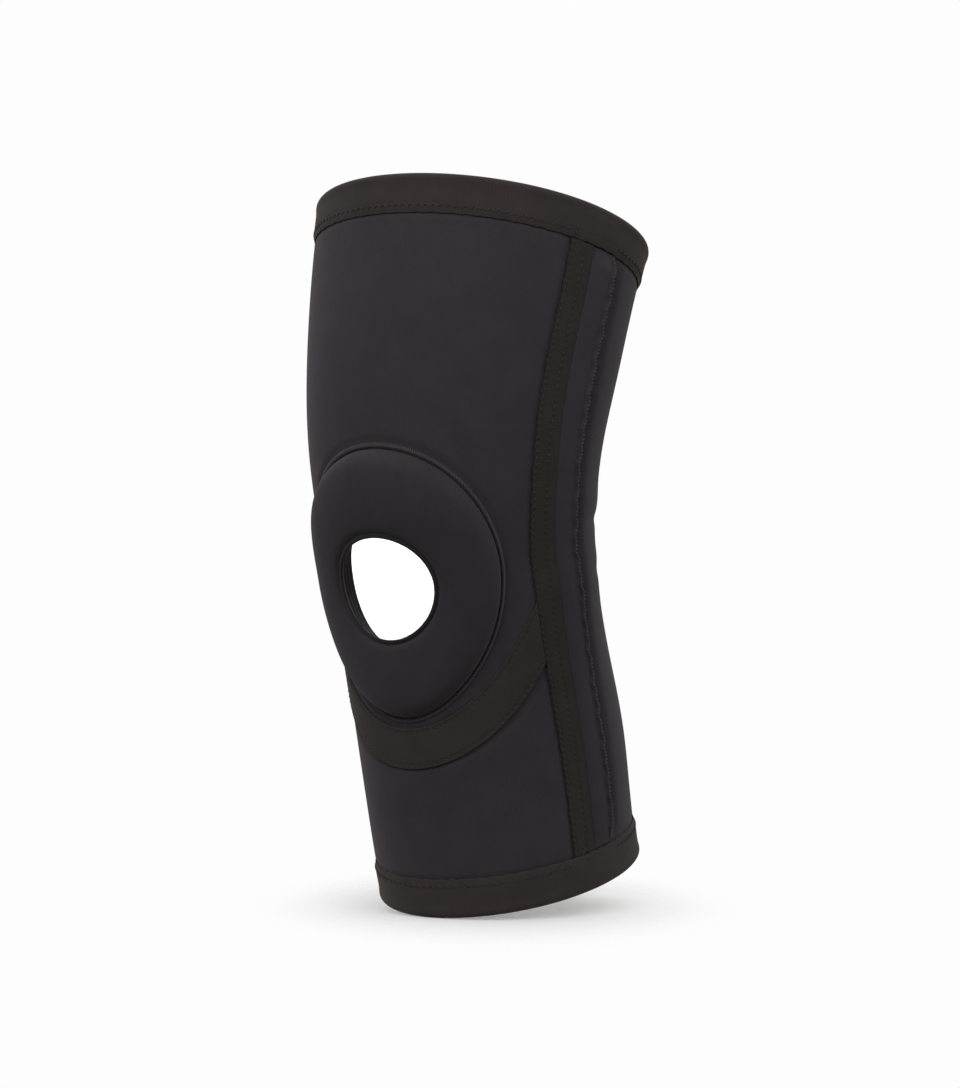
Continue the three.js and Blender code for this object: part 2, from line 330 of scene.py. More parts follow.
print("shin seam below the kneecap, mm:", SHIN_SEAM_FRONT, "in front,", SHIN_SEAM_SIDE, "at the side")

# %% [markdown]
# ## Helpers: from a grid of points to a closed mesh
# Every piece is a strip or a ring with a closed section: out along the cloth's face, round the edge and
# back underneath. A grid whose rows are such loops is all that is needed. Strips get their two ends
# closed, so that each piece is a solid that could be printed. The cloth's own coordinates go along
# with each vertex, and the weaves are drawn in them, so that a weave runs with its tape.

# %% Mesh helpers
def finish_mesh(name, mesh, materials, crease=45):
    """An object from a mesh: faces turned outward, soft shading, riding on the sleeve."""
    shaped = bmesh.new()
    shaped.from_mesh(mesh)
    bmesh.ops.recalc_face_normals(shaped, faces=shaped.faces)
    shaped.to_mesh(mesh)
    shaped.free()
    mesh.shade_smooth()
    mesh.set_sharp_from_angle(angle=math.radians(crease))
    for material in materials:
        mesh.materials.append(material)
    piece = bpy.data.objects.new(name, mesh)
    bpy.context.scene.collection.objects.link(piece)
    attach(piece, "root")
    return piece


def triangles(piece):
    """How many triangles a piece has."""
    return sum(len(p.vertices) - 2 for p in piece.data.polygons)


def two_faced(outer, inner):
    """Rows of loops from an outer and an inner grid of points or coordinates."""
    return np.concatenate([outer, inner[:, ::-1]], axis=1)


print("a loop, out and back:", two_faced(np.array([[1, 2, 3]]), np.array([[-1, -2, -3]])).tolist())


# %% From rows of loops to a piece
def loft(name, points, cloth, materials, ring=False):
    """A closed piece from rows of loops. The second half of a loop runs back under the first.

    points are rows x columns x 3 in millimetres, and cloth the same grid's coordinates on the cloth.
    With two materials the second one is on the underside."""
    rows, columns = points.shape[:2]
    half = columns // 2
    index = np.arange(rows * columns).reshape(rows, columns)
    here = index if ring else index[:-1]
    ahead = np.roll(index, -1, axis=0) if ring else index[1:]
    walls = np.stack([here, np.roll(here, -1, 1), np.roll(ahead, -1, 1), ahead], -1)
    faces = [walls.reshape(-1, 4)]
    under = [np.broadcast_to(np.arange(columns) >= half, walls.shape[:2]).ravel()]
    for end in [] if ring else (index[0], index[-1]):
        top, bottom = end[:half], end[::-1][:half]
        faces.append(np.stack([top[:-1], top[1:], bottom[1:], bottom[:-1]], -1))
        under.append(np.zeros(half - 1, bool))
    mesh = bpy.data.meshes.new(name)
    mesh.from_pydata((points.reshape(-1, 3) * MM).tolist(), [], np.concatenate(faces).tolist())
    if len(materials) > 1:
        mesh.polygons.foreach_set("material_index", np.concatenate(under).astype(np.int32))
    lies = mesh.attributes.new("cloth", "FLOAT_VECTOR", "POINT")
    flat = np.zeros((rows * columns, 3), np.float32)
    flat[:, :2] = cloth.reshape(-1, 2)
    lies.data.foreach_set("vector", flat.ravel())
    return finish_mesh(name, mesh, materials)


# %% [markdown]
# ## Colours and nodes
# Colours are picked as sRGB hex values, as a paint program shows them. A shader computes with light, so
# one function turns them to linear values. One more adds a node with its settings and links: a
# material then reads as a short recipe from top to bottom.

# %% Colour and node helpers
def linear(hex_colour):
    """An sRGB hex colour as the linear RGBA that a socket takes."""
    shares = [int(hex_colour[i:i + 2], 16) / 255 for i in (1, 3, 5)]
    return [c / 12.92 if c <= 0.04045 else ((c + 0.055) / 1.055) ** 2.4 for c in shares] + [1.0]


def add(tree, kind, settings=None, **inputs):
    """Adds a node. Inputs are named by socket, with _ for a space, or i0, i1 for sockets by number."""
    made = tree.nodes.new("ShaderNode" + kind)
    for name, value in (settings or {}).items():
        setattr(made, name, value)
    for name, value in inputs.items():
        numbered = name[0] == "i" and name[1:].isdigit()
        socket = made.inputs[int(name[1:]) if numbered else name.replace("_", " ")]
        if isinstance(value, bpy.types.NodeSocket):
            tree.links.new(value, socket)
        else:
            socket.default_value = value
    return made


print("a middle grey as light:", [round(c, 3) for c in linear("#808080")])

# %% [markdown]
# ## What all the cloth here has in common
# Jersey, tape and thread differ in their pattern, and share the rest: matt dyed fibre with a fuzz of
# fibre ends about 0.7 mm apart, a dye that is a little uneven over a centimetre or so, and painted
# shade, a darker colour in the valleys of the pattern. So one function builds every fabric, and takes
# the pattern as a function of its own. Patterns could be image textures too, but waves stay sharp
# however close the camera comes, and their lengths are plain millimetres on the cloth.

# %% Cloth material and patterns
DYE_PATCH = 14.286
DYE_STOPS = (0.3, 0.7)
FIBRE_END = 0.7143
FUZZ_RELIEF = 0.35
SMOOTHER = 0.06
VALLEY_SHADE = 0.84


def cloth_material(name, colour, pattern, bump_mm, strength, blotch=0.1, **shader):
    """A fabric: a pattern's height as bump and as painted shade in its valleys, a slow mottling of the dye,
    and a rough, sheened surface.

    pattern(tree, across, along) returns the socket of a height from 0 to 1."""
    material = bpy.data.materials.new(name)
    material.use_nodes = True
    tree = material.node_tree
    tree.nodes.clear()
    cloth = add(tree, "Attribute", {"attribute_name": "cloth"})
    split = add(tree, "SeparateXYZ", Vector=cloth.outputs["Vector"])
    height = pattern(tree, split.outputs["X"], split.outputs["Y"])
    place = add(tree, "TexCoord").outputs["Object"]
    mottle = add(tree, "TexNoise", Vector=place, Scale=1 / (DYE_PATCH * MM), Detail=3.0, Roughness=0.6)
    fuzz = add(tree, "TexNoise", Vector=place, Scale=1 / (FIBRE_END * MM), Detail=2.0)
    dye = add(tree, "ValToRGB", Fac=mottle.outputs["Fac"])
    for stop, position, gain in zip(dye.color_ramp.elements, DYE_STOPS, (1 - blotch, 1 + blotch)):
        stop.position = position
        stop.color = [c * gain for c in linear(colour)[:3]] + [1]
    # Painted shade: the colour is darkened to VALLEY_SHADE of itself in the pattern's valleys.
    valley = add(tree, "MapRange", Value=height, To_Min=VALLEY_SHADE, To_Max=1.0)
    dye_and_painted_shade = add(tree, "Mix", {"data_type": "RGBA", "blend_type": "MULTIPLY"},
                 i0=1.0, i6=dye.outputs["Color"], i7=valley.outputs["Result"])
    rough = add(tree, "MapRange", Value=fuzz.outputs["Fac"],
                To_Min=shader.pop("rough") - SMOOTHER, To_Max=shader.pop("rougher"))
    both = add(tree, "Math", {"operation": "MULTIPLY_ADD"}, i0=fuzz.outputs["Fac"], i1=FUZZ_RELIEF, i2=height)
    bump = add(tree, "Bump", Height=both.outputs["Value"], Strength=strength, Distance=bump_mm * MM)
    principled = add(tree, "BsdfPrincipled", Base_Color=dye_and_painted_shade.outputs[2], Normal=bump.outputs["Normal"],
                     Roughness=rough.outputs["Result"])
    for socket, value in shader.items():
        principled.inputs[socket.replace("_", " ")].default_value = value
    add(tree, "OutputMaterial", Surface=principled.outputs["BSDF"])
    return material


def wave(tree, value, period):
    """A soft wave from 0 to 1 that repeats every period, from a value in millimetres."""
    turns = add(tree, "Math", {"operation": "MULTIPLY"}, i0=value, i1=2 * math.pi / period)
    swing = add(tree, "Math", {"operation": "SINE"}, i0=turns.outputs["Value"])
    raised = add(tree, "Math", {"operation": "MULTIPLY_ADD"}, i0=swing.outputs["Value"], i1=0.5, i2=0.5)
    return raised.outputs["Value"]


def layered(tree, over, under, share):
    """Two heights laid over each other. share is how much of the relief the first one has."""
    below = add(tree, "Math", {"operation": "MULTIPLY"}, i0=under, i1=1 - share)
    both = add(tree, "Math", {"operation": "MULTIPLY_ADD"}, i0=over, i1=share, i2=below.outputs["Value"])
    return both.outputs["Value"]


# %% [markdown]
# ## Jersey-faced neoprene
# Neoprene sheet is a black foam rubber with nylon jersey glued to both faces. What the eye sees is the
# knit: columns of small V shapes, matt, with a faint bloom of fibre ends at grazing angles. The real
# columns are about 0.6 mm apart, which is finer than a pixel here, so they are drawn at 1.1 mm.
# A knit could be an image texture, but two waves do it: one across the columns, and one along them
# whose phase shifts with the distance from the column's middle, which is what makes the V.
# One knit serves four pieces: the panels' face, the pad's cover, which is stretched and a little
# darker, the rim, which is folded inward and painted much darker as painted shade, and the pale inner face.

# %% Jersey facing, in four colours
WALE = 1.1
COURSE = 0.9
LOOP_LEAN = 1.3
LOOP_SHARE = 0.45
NYLON_IOR = 1.53


def knit(tree, across, along):
    """Jersey: V-shaped loops in columns."""
    column = add(tree, "Math", {"operation": "PINGPONG"}, i0=across, i1=WALE / 2)
    leaning = add(tree, "Math", {"operation": "MULTIPLY_ADD"}, i0=column.outputs["Value"],
                  i1=LOOP_LEAN, i2=along)
    return layered(tree, wave(tree, leaning.outputs["Value"], COURSE), wave(tree, across, WALE), LOOP_SHARE)


KNIT = {"pattern": knit, "bump_mm": 0.12, "strength": 0.4, "rough": 0.86, "rougher": 0.95,
        "IOR": NYLON_IOR, "Specular_IOR_Level": 0.22, "Sheen_Weight": 0.15, "Sheen_Roughness": 0.5}
DARK_BLOOM = linear("#b8b3b6")
jersey = cloth_material("jersey_on_neoprene", "#292629", **KNIT, Sheen_Tint=DARK_BLOOM)
pad_jersey = cloth_material("jersey_on_foam_pad", "#272427", **KNIT, Sheen_Tint=DARK_BLOOM)
# Painted shade: the rim is the same knit, painted much darker for the shade on the opening's wall.
rim_jersey_painted_shade = cloth_material("folded_rim_jersey_painted_shade", "#181618", **KNIT, Sheen_Tint=DARK_BLOOM)
lining = cloth_material("pale_lining_jersey", "#f2f1ef", blotch=0.015, **KNIT, Sheen_Tint=linear("#ffffff"))
print("materials:", jersey.name, pad_jersey.name, rim_jersey_painted_shade.name, lining.name)

# %% [markdown]
# ## Woven tape and stretch binding
# The tapes over the seams are woven nylon with fine cross ribs, and the hems are bound with a softer
# stretch tape. Both are dyed a warmer black than the neoprene, which is how the eye tells them apart,
# and the binding is painted a little lighter still, as painted light from above. Ribs are 0.8 mm
# apart on the real tape and are drawn at 1.2 mm. The shin tape lies open to the light and is painted
# a shade lighter for that, as painted light. Sewing thread is spun polyester, smoother than cloth, so
# it shines a little, and the overlock thread round the pad and on the ridges is painted palest of
# all, as a painted highlight.

# %% Tape, binding and thread
RIB = 1.2
WARP_SHARE = 0.3
THREAD_TURN = 0.5


def ribs(tree, across, along):
    """Cross ribs with the finer warp that runs over them."""
    return layered(tree, wave(tree, across, RIB / 2), wave(tree, along, RIB), WARP_SHARE)


def twist(tree, across, along):
    """The plies of a sewing thread, which wind round it."""
    winding = add(tree, "Math", {"operation": "ADD"}, i0=across, i1=along)
    return wave(tree, winding.outputs["Value"], THREAD_TURN)


WEAVE = {"pattern": ribs, "rough": 0.9, "rougher": 0.97, "IOR": NYLON_IOR, "Specular_IOR_Level": 0.18,
         "Sheen_Weight": 0.12, "Sheen_Roughness": 0.5, "Sheen_Tint": linear("#b8aea2")}
SPUN = {"pattern": twist, "bump_mm": 0.08, "strength": 0.5, "rough": 0.7, "rougher": 0.85,
        "IOR": 1.54, "Specular_IOR_Level": 0.25, "Sheen_Weight": 0.1, "Sheen_Roughness": 0.4}
woven_tape = cloth_material("woven_nylon_tape", "#262222", bump_mm=0.14, strength=0.4, **WEAVE)
# Painted light: the shin tape is the same woven tape, painted a shade lighter where it faces the light.
shin_tape_painted_lighter = cloth_material("woven_nylon_shin_tape_painted_lighter", "#2b2726", bump_mm=0.14, strength=0.4, **WEAVE)
# Partly painted light: the binding is a warmer black, and it is painted lighter for the light it catches from
# above.
binding_tape_painted_lighter = cloth_material("stretch_binding_tape_painted_lighter", "#2e2827", bump_mm=0.1, strength=0.35, **WEAVE)
thread = cloth_material("polyester_thread", "#2b2827", **SPUN)
# Painted highlight: the overlock thread is painted paler for the light that its groove and ridges catch.
overlock_thread_painted_highlight = cloth_material("polyester_overlock_thread_painted_highlight", "#403c3e", **SPUN)
print("materials:", woven_tape.name, shin_tape_painted_lighter.name, binding_tape_painted_lighter.name, thread.name, overlock_thread_painted_highlight.name)

# %% [markdown]
# ## Where seams pull the neoprene down
# Foam gives way under a trim that is sewn down, so tapes and bindings lie pressed into it, with their
# faces little higher than the neoprene beside them. A row of stitches draws the foam in as well, and
# the shadow in that soft valley is what draws the line on the photographed sleeve. The valleys are
# geometry, because a bump would vanish at the outline and in an exported mesh. All of them only go
# inward, so no piece above is touched.

# %% Valleys in the panels
TAPE_SQUEEZE, TAPE_RAMP = 0.6, 1.6
BINDING_SQUEEZE, BINDING_RAMP = 0.5, 1.4
EDGE_CLEARANCE = 0.15
RIDGE_FORWARD = 2.4
VALLEYS = {
    "seam": {"away": -SIDE_TAPE_WIDTH / 2 - 0.8, "depth": 0.45, "width": 1.2},
    "ridge": {"away": 5.2 - RIDGE_FORWARD, "depth": 2.0, "width": 3.2},
    "pad_edge": {"away": 0, "depth": 1.1, "width": 1.1},
    "pad_band": {"away": 2.7, "depth": 0.8, "width": 0.9},
}
RIPPLE, RIPPLE_LENGTH, RIPPLE_SWELL = 0.2, 6.2, 17
HEM_COVER, HEM_REACH = 3, 16


def valley(distance, depth, width, away=0):
    """A soft groove, as a negative height, that lies away from where the distance is zero."""
    return -depth * np.exp(-((distance - away) / width) ** 2)


def squeeze(distance, depth, ramp):
    """Foam squeezed under a trim, as a negative height. distance is positive outside the trim."""
    return -depth * (1 - ease((distance - EDGE_CLEARANCE) / ramp))


def seam_valleys(along, angle):
    """How far the seams and trims draw the panels' outer face in, in millimetres below the skin."""
    turned = either_way(angle)
    per_radian = millimetres_round(along, turned)
    from_seam = (turned - seam_angle(along)) * per_radian
    from_ridge = (turned - ridge_angle(along)) * per_radian
    in_front = turned < seam_angle(along)
    across = np.clip(turned / seam_angle(along), 0, 1)
    from_shin = np.abs(along - shin_seam(across)) / shin_slant(across)
    from_pad = outside_ring(PAD_RING, along, turned)
    ripple = 1 + RIPPLE * np.sin(2 * np.pi * along / RIPPLE_LENGTH) * np.sin(along / RIPPLE_SWELL)
    pressed = squeeze(np.abs(from_seam) - SIDE_TAPE_WIDTH / 2, TAPE_SQUEEZE, TAPE_RAMP)
    on_shin = squeeze(from_shin - SHIN_TAPE_WIDTH / 2, TAPE_SQUEEZE, TAPE_RAMP)
    pressed = np.minimum(pressed, np.where(in_front, on_shin, 0))
    clear_of_hems = 1
    for end in (1, -1):
        inset = hem_distance(end, angle) - end * along
        pressed = np.minimum(pressed, squeeze(inset - BINDING_WIDTH, BINDING_SQUEEZE, BINDING_RAMP))
        clear_of_hems = clear_of_hems * ease((inset - BINDING_WIDTH + HEM_COVER) / HEM_REACH)
    drawn = valley(from_seam, **VALLEYS["seam"]) + valley(from_ridge, **VALLEYS["ridge"]) * clear_of_hems
    at_pad = valley(from_pad, **VALLEYS["pad_edge"]) + valley(from_pad, **VALLEYS["pad_band"])
    return pressed + drawn * ripple + np.where(in_front, at_pad, 0)


half_turn = np.linspace(0, np.pi, 400)
print("deepest valley half-way up the thigh, mm:",
      round(float(seam_valleys(THIGH_LENGTH / 2, half_turn).min()), 2))

# %% [markdown]
# ## The panels
# Three cuts of 3.5 mm neoprene: front, shin and back. Each is a grid between two seams with an outer and
# an inner face. The front panel has the kneecap opening, and a Boolean cuts it: the alternative, a
# grid that bends round the hole, would spoil the even run of the knit. The inner faces are lined
# with a pale jersey, because the photographed opening shows white and not black behind it.

# %% Panel grids
FRONT_COLUMNS, FRONT_ROWS, SHIN_ROWS = 170, 190, 80
BACK_COLUMNS, BACK_ROWS = 150, 190
BINDING_THICKNESS = 1.1
FOLD_RADIUS = NEOPRENE / 2 + SEAM_GAP + BINDING_THICKNESS
WEAVE_RADIUS = 62


def panel_end(end, angle):
    """Where a panel ends inside its binding."""
    return end * (hem_distance(end, angle) - FOLD_RADIUS)


def panel(name, along, angle):
    """A sheet of neoprene over a grid of places."""
    faces = two_faced(skin(along, angle, seam_valleys(along, angle)), skin(along, angle, -NEOPRENE))
    cloth = np.stack([angle * WEAVE_RADIUS, along], -1)
    made = loft(name, faces, two_faced(cloth, cloth), [jersey, lining])
    print(name, triangles(made), "triangles")
    return made


def share_grid(rows, columns, first, last):
    """Two grids: the share of the way up a panel, and the place across it from first to last."""
    return np.meshgrid(np.linspace(0, 1, rows + 1), np.linspace(first, last, columns + 1), indexing="ij")


def front_grid(rows, lower, upper):
    """Places between the side seams, from one edge line up to another."""
    v, across = share_grid(rows, FRONT_COLUMNS, -1, 1)
    turned = np.abs(across)
    aim = across * seam_angle(blend(lower(turned, 0), upper(turned, 0), v))
    along = blend(lower(turned, aim), upper(turned, aim), v)
    return along, across * beside_seam(along, -SEAM_GAP / 2)


def back_grid():
    """Places from the left side seam round the back to the right one."""
    v, across = share_grid(BACK_ROWS, BACK_COLUMNS, 1, -1)

    def round_back(along):
        return np.pi - across * (np.pi - beside_seam(along, SEAM_GAP / 2))

    aim = round_back(blend(-CALF_LENGTH, THIGH_LENGTH, v))
    along = blend(panel_end(-1, aim), panel_end(1, aim), v)
    return along, round_back(along)


# %% The three panels
front_cloth = panel("front_cloth", *front_grid(
    FRONT_ROWS,
    lambda across, angle: shin_seam(across) + SEAM_GAP / 2,
    lambda across, angle: panel_end(1, angle) + 0 * across,
))
shin_cloth = panel("shin_cloth", *front_grid(
    SHIN_ROWS,
    lambda across, angle: panel_end(-1, angle) + 0 * across,
    lambda across, angle: shin_seam(across) - SEAM_GAP / 2,
))
back_cloth = panel("back_cloth", *back_grid())

# %% [markdown]
# ## Cutting the kneecap opening
# The plug is the convex hull of a few rings that flare towards the leg. It reaches past both faces of
# the panel, and a Boolean modifier takes it away. The modifier is applied by taking the evaluated
# mesh, which needs no operator and no active object. The opening is narrowest at the pad's lip, so
# the pad's section comes here already.

# %% Rings of the opening
OPENING = {"centre": 0.6, "half_height": 20.3, "half_width": 24.3, "egg": 0.09}
OPENING_FLARE = 5
RIM_GAP = 0.06
RIM_THICKNESS = 0.9
PAD_CROWN = 7.8
PAD_SECTION = {
    "across": (0.0, 0.03, 0.09, 0.2, 0.4, 0.6, 0.78, 0.92, 1.0),
    "height": (0.06, 0.3, 0.58, 0.83, 0.98, 1.0, 0.94, 0.84, 0.66),
}
LIP_HEIGHT = SEAM_GAP + PAD_CROWN * PAD_SECTION["height"][-1]


def grown(ring, margin):
    """A ring with both of its half sizes grown by a margin."""
    return {**ring, "half_height": ring["half_height"] + margin, "half_width": ring["half_width"] + margin}


def flare_at(height):
    """How much wider the opening is behind the pad's lip than at the lip."""
    return OPENING_FLARE * (LIP_HEIGHT - height) / (LIP_HEIGHT + NEOPRENE)


def sewn_ring(height):
    """What is sewn to the rim of the opening stops just clear of it."""
    return grown(OPENING, RIM_THICKNESS + RIM_GAP + flare_at(height))


print("the pad's lip stands out by", round(LIP_HEIGHT, 2), "mm")

# %% Cut the opening
PLUG_TURNS = 120


def apply_modifiers(piece):
    """Replaces a piece's mesh by what its modifiers make of it."""
    seen = piece.evaluated_get(bpy.context.evaluated_depsgraph_get())
    made = bpy.data.meshes.new_from_object(seen)
    piece.modifiers.clear()
    piece.data = made


def cut_opening(piece):
    """Takes the plug of the kneecap opening out of the front panel."""
    bulge = OPENING["half_width"] ** 2 / KNEE_WIDTH
    turns = np.linspace(0, 2 * np.pi, PLUG_TURNS, endpoint=False)
    rings = [kneecap_point(sewn_ring(h), turns, h) for h in (bulge + NEOPRENE, 0, -NEOPRENE - RIM_THICKNESS)]
    shape = bmesh.new()
    for point in np.concatenate(rings) * MM:
        shape.verts.new(point)
    bmesh.ops.convex_hull(shape, input=shape.verts)
    plug_mesh = bpy.data.meshes.new("plug")
    shape.to_mesh(plug_mesh)
    shape.free()
    plug = bpy.data.objects.new("plug", plug_mesh)
    bpy.context.scene.collection.objects.link(plug)
    cut = piece.modifiers.new("opening", "BOOLEAN")
    cut.operation = "DIFFERENCE"
    cut.solver = "EXACT"
    cut.object = plug
    apply_modifiers(piece)
    bpy.data.objects.remove(plug)


cut_opening(front_cloth)
for cloth_piece, part in ((front_cloth, "front"), (shin_cloth, "shin"), (back_cloth, "back")):
    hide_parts(f"{part}_panel")
print("front panel with its opening:", triangles(front_cloth), "triangles")

# %% [markdown]
# ## Strips with a sewn section
# Tapes, bindings and pockets are long strips with a small section. The section is a line with a
# thickness that fades at its two ends, which rounds the edges as a woven edge is rounded. The
# functions below give the loop of such a section once, and sweep it along the sleeve.

# %% Sections of strips
BLUNT = 0.06


def rounded(from_end, radius):
    """Half the thickness of an edge that is rounded with a radius, at distances from its end."""
    inward = np.clip(from_end / radius, 0, 1)
    return radius * np.sqrt(np.clip(1 - (1 - inward) ** 2, BLUNT, 1))


def ribbon_section(first, last, thickness, count):
    """Places across a strip, packed at its edges, and the half thickness at each of them."""
    places = first + (last - first) * (1 - np.cos(np.linspace(0, np.pi, count))) / 2
    return places, rounded(np.minimum(places - first, last - places), thickness / 2)


def side_strip(name, side, along, offsets, heights, materials):
    """A strip down one side of the sleeve, from a grid of offsets from the seam and heights."""
    angle = side * beside_seam(along[:, None], offsets)
    points = skin(along[:, None], angle, heights)
    cloth = np.stack([offsets + 0 * points[..., 0], along[:, None] + 0 * points[..., 0]], -1)
    return loft(name, points, cloth, materials)


def trim_end(end, angle):
    """Where tapes and pockets stop, just clear of a binding."""
    return end * (hem_distance(end, angle) - BINDING_WIDTH - SEAM_GAP)


def side_stations(count):
    """Places along the leg, from one binding to the other, at the side seam."""
    seam = float(seam_angle(0))
    return np.linspace(float(trim_end(-1, seam)), float(trim_end(1, seam)), count)


print("tapes and pockets run between", side_stations(2).round(1).tolist(), "mm along the leg")

# %% [markdown]
# ## Side tapes
# A woven tape covers each side seam, held by two needle rows. Each row sinks into the tape, and the tape
# bulges a little between them. The front row runs along the edge, where each stitch pulls it in a
# little, so that edge is scalloped. The rows' places are named, because the stitches are sewn on
# them later. A curve with a bevelled profile would make a tape too, but not one that lies on the skin.

# %% Side tapes
TAPE_THICKNESS = 1
SIDE_ROWS = (-5.1, 0.9)
ROW_SINK = 0.28
TAPE_STATIONS, TAPE_COLUMNS = 420, 36
TAPE_LIFT = SEAM_GAP + TAPE_THICKNESS / 2 - TAPE_SQUEEZE
TAPE_FACE = TAPE_LIFT + TAPE_THICKNESS / 2
ROW_WIDTH = 0.7
ROW_PITCH = 3.0
EDGE_SCALLOP, SCALLOP_DRIFT, DRIFT_SHARE = 0.2, 1.7, 0.8
SCALLOP_FROM, SCALLOP_FADE = -4, 2


def tape_section(width, rows, columns):
    """A sewn tape's section as offsets and heights: over its face, and back under it."""
    places, half = ribbon_section(-width / 2, width / 2, TAPE_THICKNESS, columns)
    middle = TAPE_LIFT + sum(valley(places - row, ROW_SINK, ROW_WIDTH) for row in rows)
    offsets = np.concatenate([places, places[::-1]])
    return offsets, np.concatenate([middle + half, (middle - half)[::-1]])


for side_name, side in (("left", 1), ("right", -1)):
    offsets, heights = tape_section(SIDE_TAPE_WIDTH, SIDE_ROWS, TAPE_COLUMNS)
    stations = side_stations(TAPE_STATIONS)
    scallop = np.sin(2 * np.pi * stations / ROW_PITCH) + DRIFT_SHARE * np.sin(stations / SCALLOP_DRIFT)
    scallop = EDGE_SCALLOP * scallop[:, None] * ease((SCALLOP_FROM - offsets) / SCALLOP_FADE)
    tape = side_strip(f"side_tape_{side_name}_woven", side, stations,
                      offsets + scallop, heights + 0 * scallop, [woven_tape])
    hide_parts(f"side_tape_{side_name}")
    print(tape.name, triangles(tape), "triangles")

# %% [markdown]
# ## Stay pockets
# Behind each side tape a second strip of neoprene makes a pocket for a flat spring stay. Its front edge
# is tucked under the tape. From there it swells over the stay, and its rear edge is turned and
# whip-stitched: that makes the thin, slightly jagged ridge that catches the light. Towards the hems it
# flattens, and stops just clear of the bindings. The section is a table of shares, drawn as a smooth
# curve but for the flap, which is straight.

# %% Stay pockets
POCKET_THICKNESS = 2.8
POCKET_SECTION = {
    "across": (0.0, 0.04, 0.055, 0.1, 0.2, 0.5, 0.76, 0.86, 0.92, 0.97, 1.0),
    "height": (-0.24, -0.22, 0.05, 0.28, 0.46, 0.68, 0.68, 0.68, 1.12, 1.02, 0.4),
}
FLAP = 0.2
FLAP_STEPS, SWELL_STEPS, POCKET_STATIONS = 10, 47, 300
POCKET_END = 0.25
POCKET_TAPER = 9
TUCKED = 0.8
UNDER_TAPE = 0.12
RIDGE_WOBBLE = {"height": (0.36, 0.288), "length": (1.2, 2.6), "shift": (0, 1)}


def pocket_edges(along):
    """Offsets from the seam of the pocket's front edge and of its ridge."""
    seam = seam_angle(along)
    ridge = (ridge_angle(along) - seam) * millimetres_round(along, seam)
    wobble = sum(h * np.sin(along / length + shift) for h, length, shift in zip(*RIDGE_WOBBLE.values()))
    return SIDE_TAPE_WIDTH / 2 - TUCKED, ridge - RIDGE_FORWARD + wobble


def pocket_swell(along):
    """How full the pocket is, as a share: it flattens towards the bindings."""
    first, last = side_stations(2)
    return blend(POCKET_END, 1, ease(np.minimum(along - first, last - along) / POCKET_TAPER))


for side_name, side in (("left", 1), ("right", -1)):
    stations = side_stations(POCKET_STATIONS)
    across = np.concatenate([np.linspace(0, FLAP, FLAP_STEPS), np.linspace(FLAP, 1, SWELL_STEPS)[1:]])
    straight = np.interp(across, *POCKET_SECTION.values())
    smooth = curve_through(*POCKET_SECTION.values(), across)
    top = SEAM_GAP + POCKET_THICKNESS * np.where(across > FLAP, smooth, straight)
    front, rear = pocket_edges(stations[:, None])
    offsets = blend(front, rear, np.concatenate([across, across[::-1]]))
    under = UNDER_TAPE + squeeze(offsets - SIDE_TAPE_WIDTH / 2, TAPE_SQUEEZE, TAPE_RAMP)
    beneath = np.arange(offsets.shape[1]) >= len(across)
    swell = pocket_swell(stations[:, None])
    top = np.concatenate([top, top])
    heights = np.where(beneath, under, top * np.where(top < 0, 1, swell))
    pocket = side_strip(f"stay_pocket_{side_name}_neoprene", side, stations, offsets, heights, [jersey])
    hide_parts(f"stay_pocket_{side_name}")
    print(pocket.name, triangles(pocket), "triangles")

# %% [markdown]
# ## The shin tape
# The tape over the seam under the kneecap follows the seam's curve from one side tape to the other. On
# a slant it has to be longer up the leg to keep its width, and the slant function sees to that.

# %% Shin tape
SHIN_ROWS_AT = (-7.4, 7.4)
SHIN_COLUMNS, SHIN_STATIONS = 40, 220


def shin_place(across, offset, height):
    """Points on the shin tape: across the leg, and a distance up from the tape's middle line."""
    along = shin_seam(across) + offset * shin_slant(across)
    return skin(along, across * beside_seam(along, -SIDE_TAPE_WIDTH / 2 - SEAM_GAP), height)


offsets, heights = tape_section(SHIN_TAPE_WIDTH, SHIN_ROWS_AT, SHIN_COLUMNS)
across = np.linspace(-1, 1, SHIN_STATIONS)[:, None]
run = across * float(seam_angle(0)) * WEAVE_RADIUS
cloth = np.stack([offsets + 0 * run, run + 0 * offsets], -1)
shin_tape = loft("shin_tape_woven", shin_place(across, offsets, heights), cloth, [shin_tape_painted_lighter])
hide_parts("shin_tape")
print(shin_tape.name, triangles(shin_tape), "triangles")

# %% [markdown]
# ## Bound hems
# A binding is one tape folded over the raw edge of the neoprene: up its outer leg, round the fold and
# down its inner leg. The section is drawn as the tape's middle line, offset both ways by half of its
# thickness. A zigzag row pulls the outer leg down, the selvedge beyond it is thinner and a little
# wavy, and the leg rises where it runs over the side tapes and pockets. A bevelled curve would keep
# one section all the way, and this one has to change as it goes round.

# %% The binding's section
BINDING_MIDDLE = FOLD_RADIUS - BINDING_THICKNESS / 2
ZIGZAG_INSET = BINDING_WIDTH - 3.2
ZIGZAG_SINK, ZIGZAG_VALLEY = 0.2, 1.2
SETTLED_FROM, SETTLED_REACH = 1, 6
FOLD_STEPS, LEG_STEPS = 14, 24
EDGE_THINNING, THINNED_REACH = 0.45, 3.2


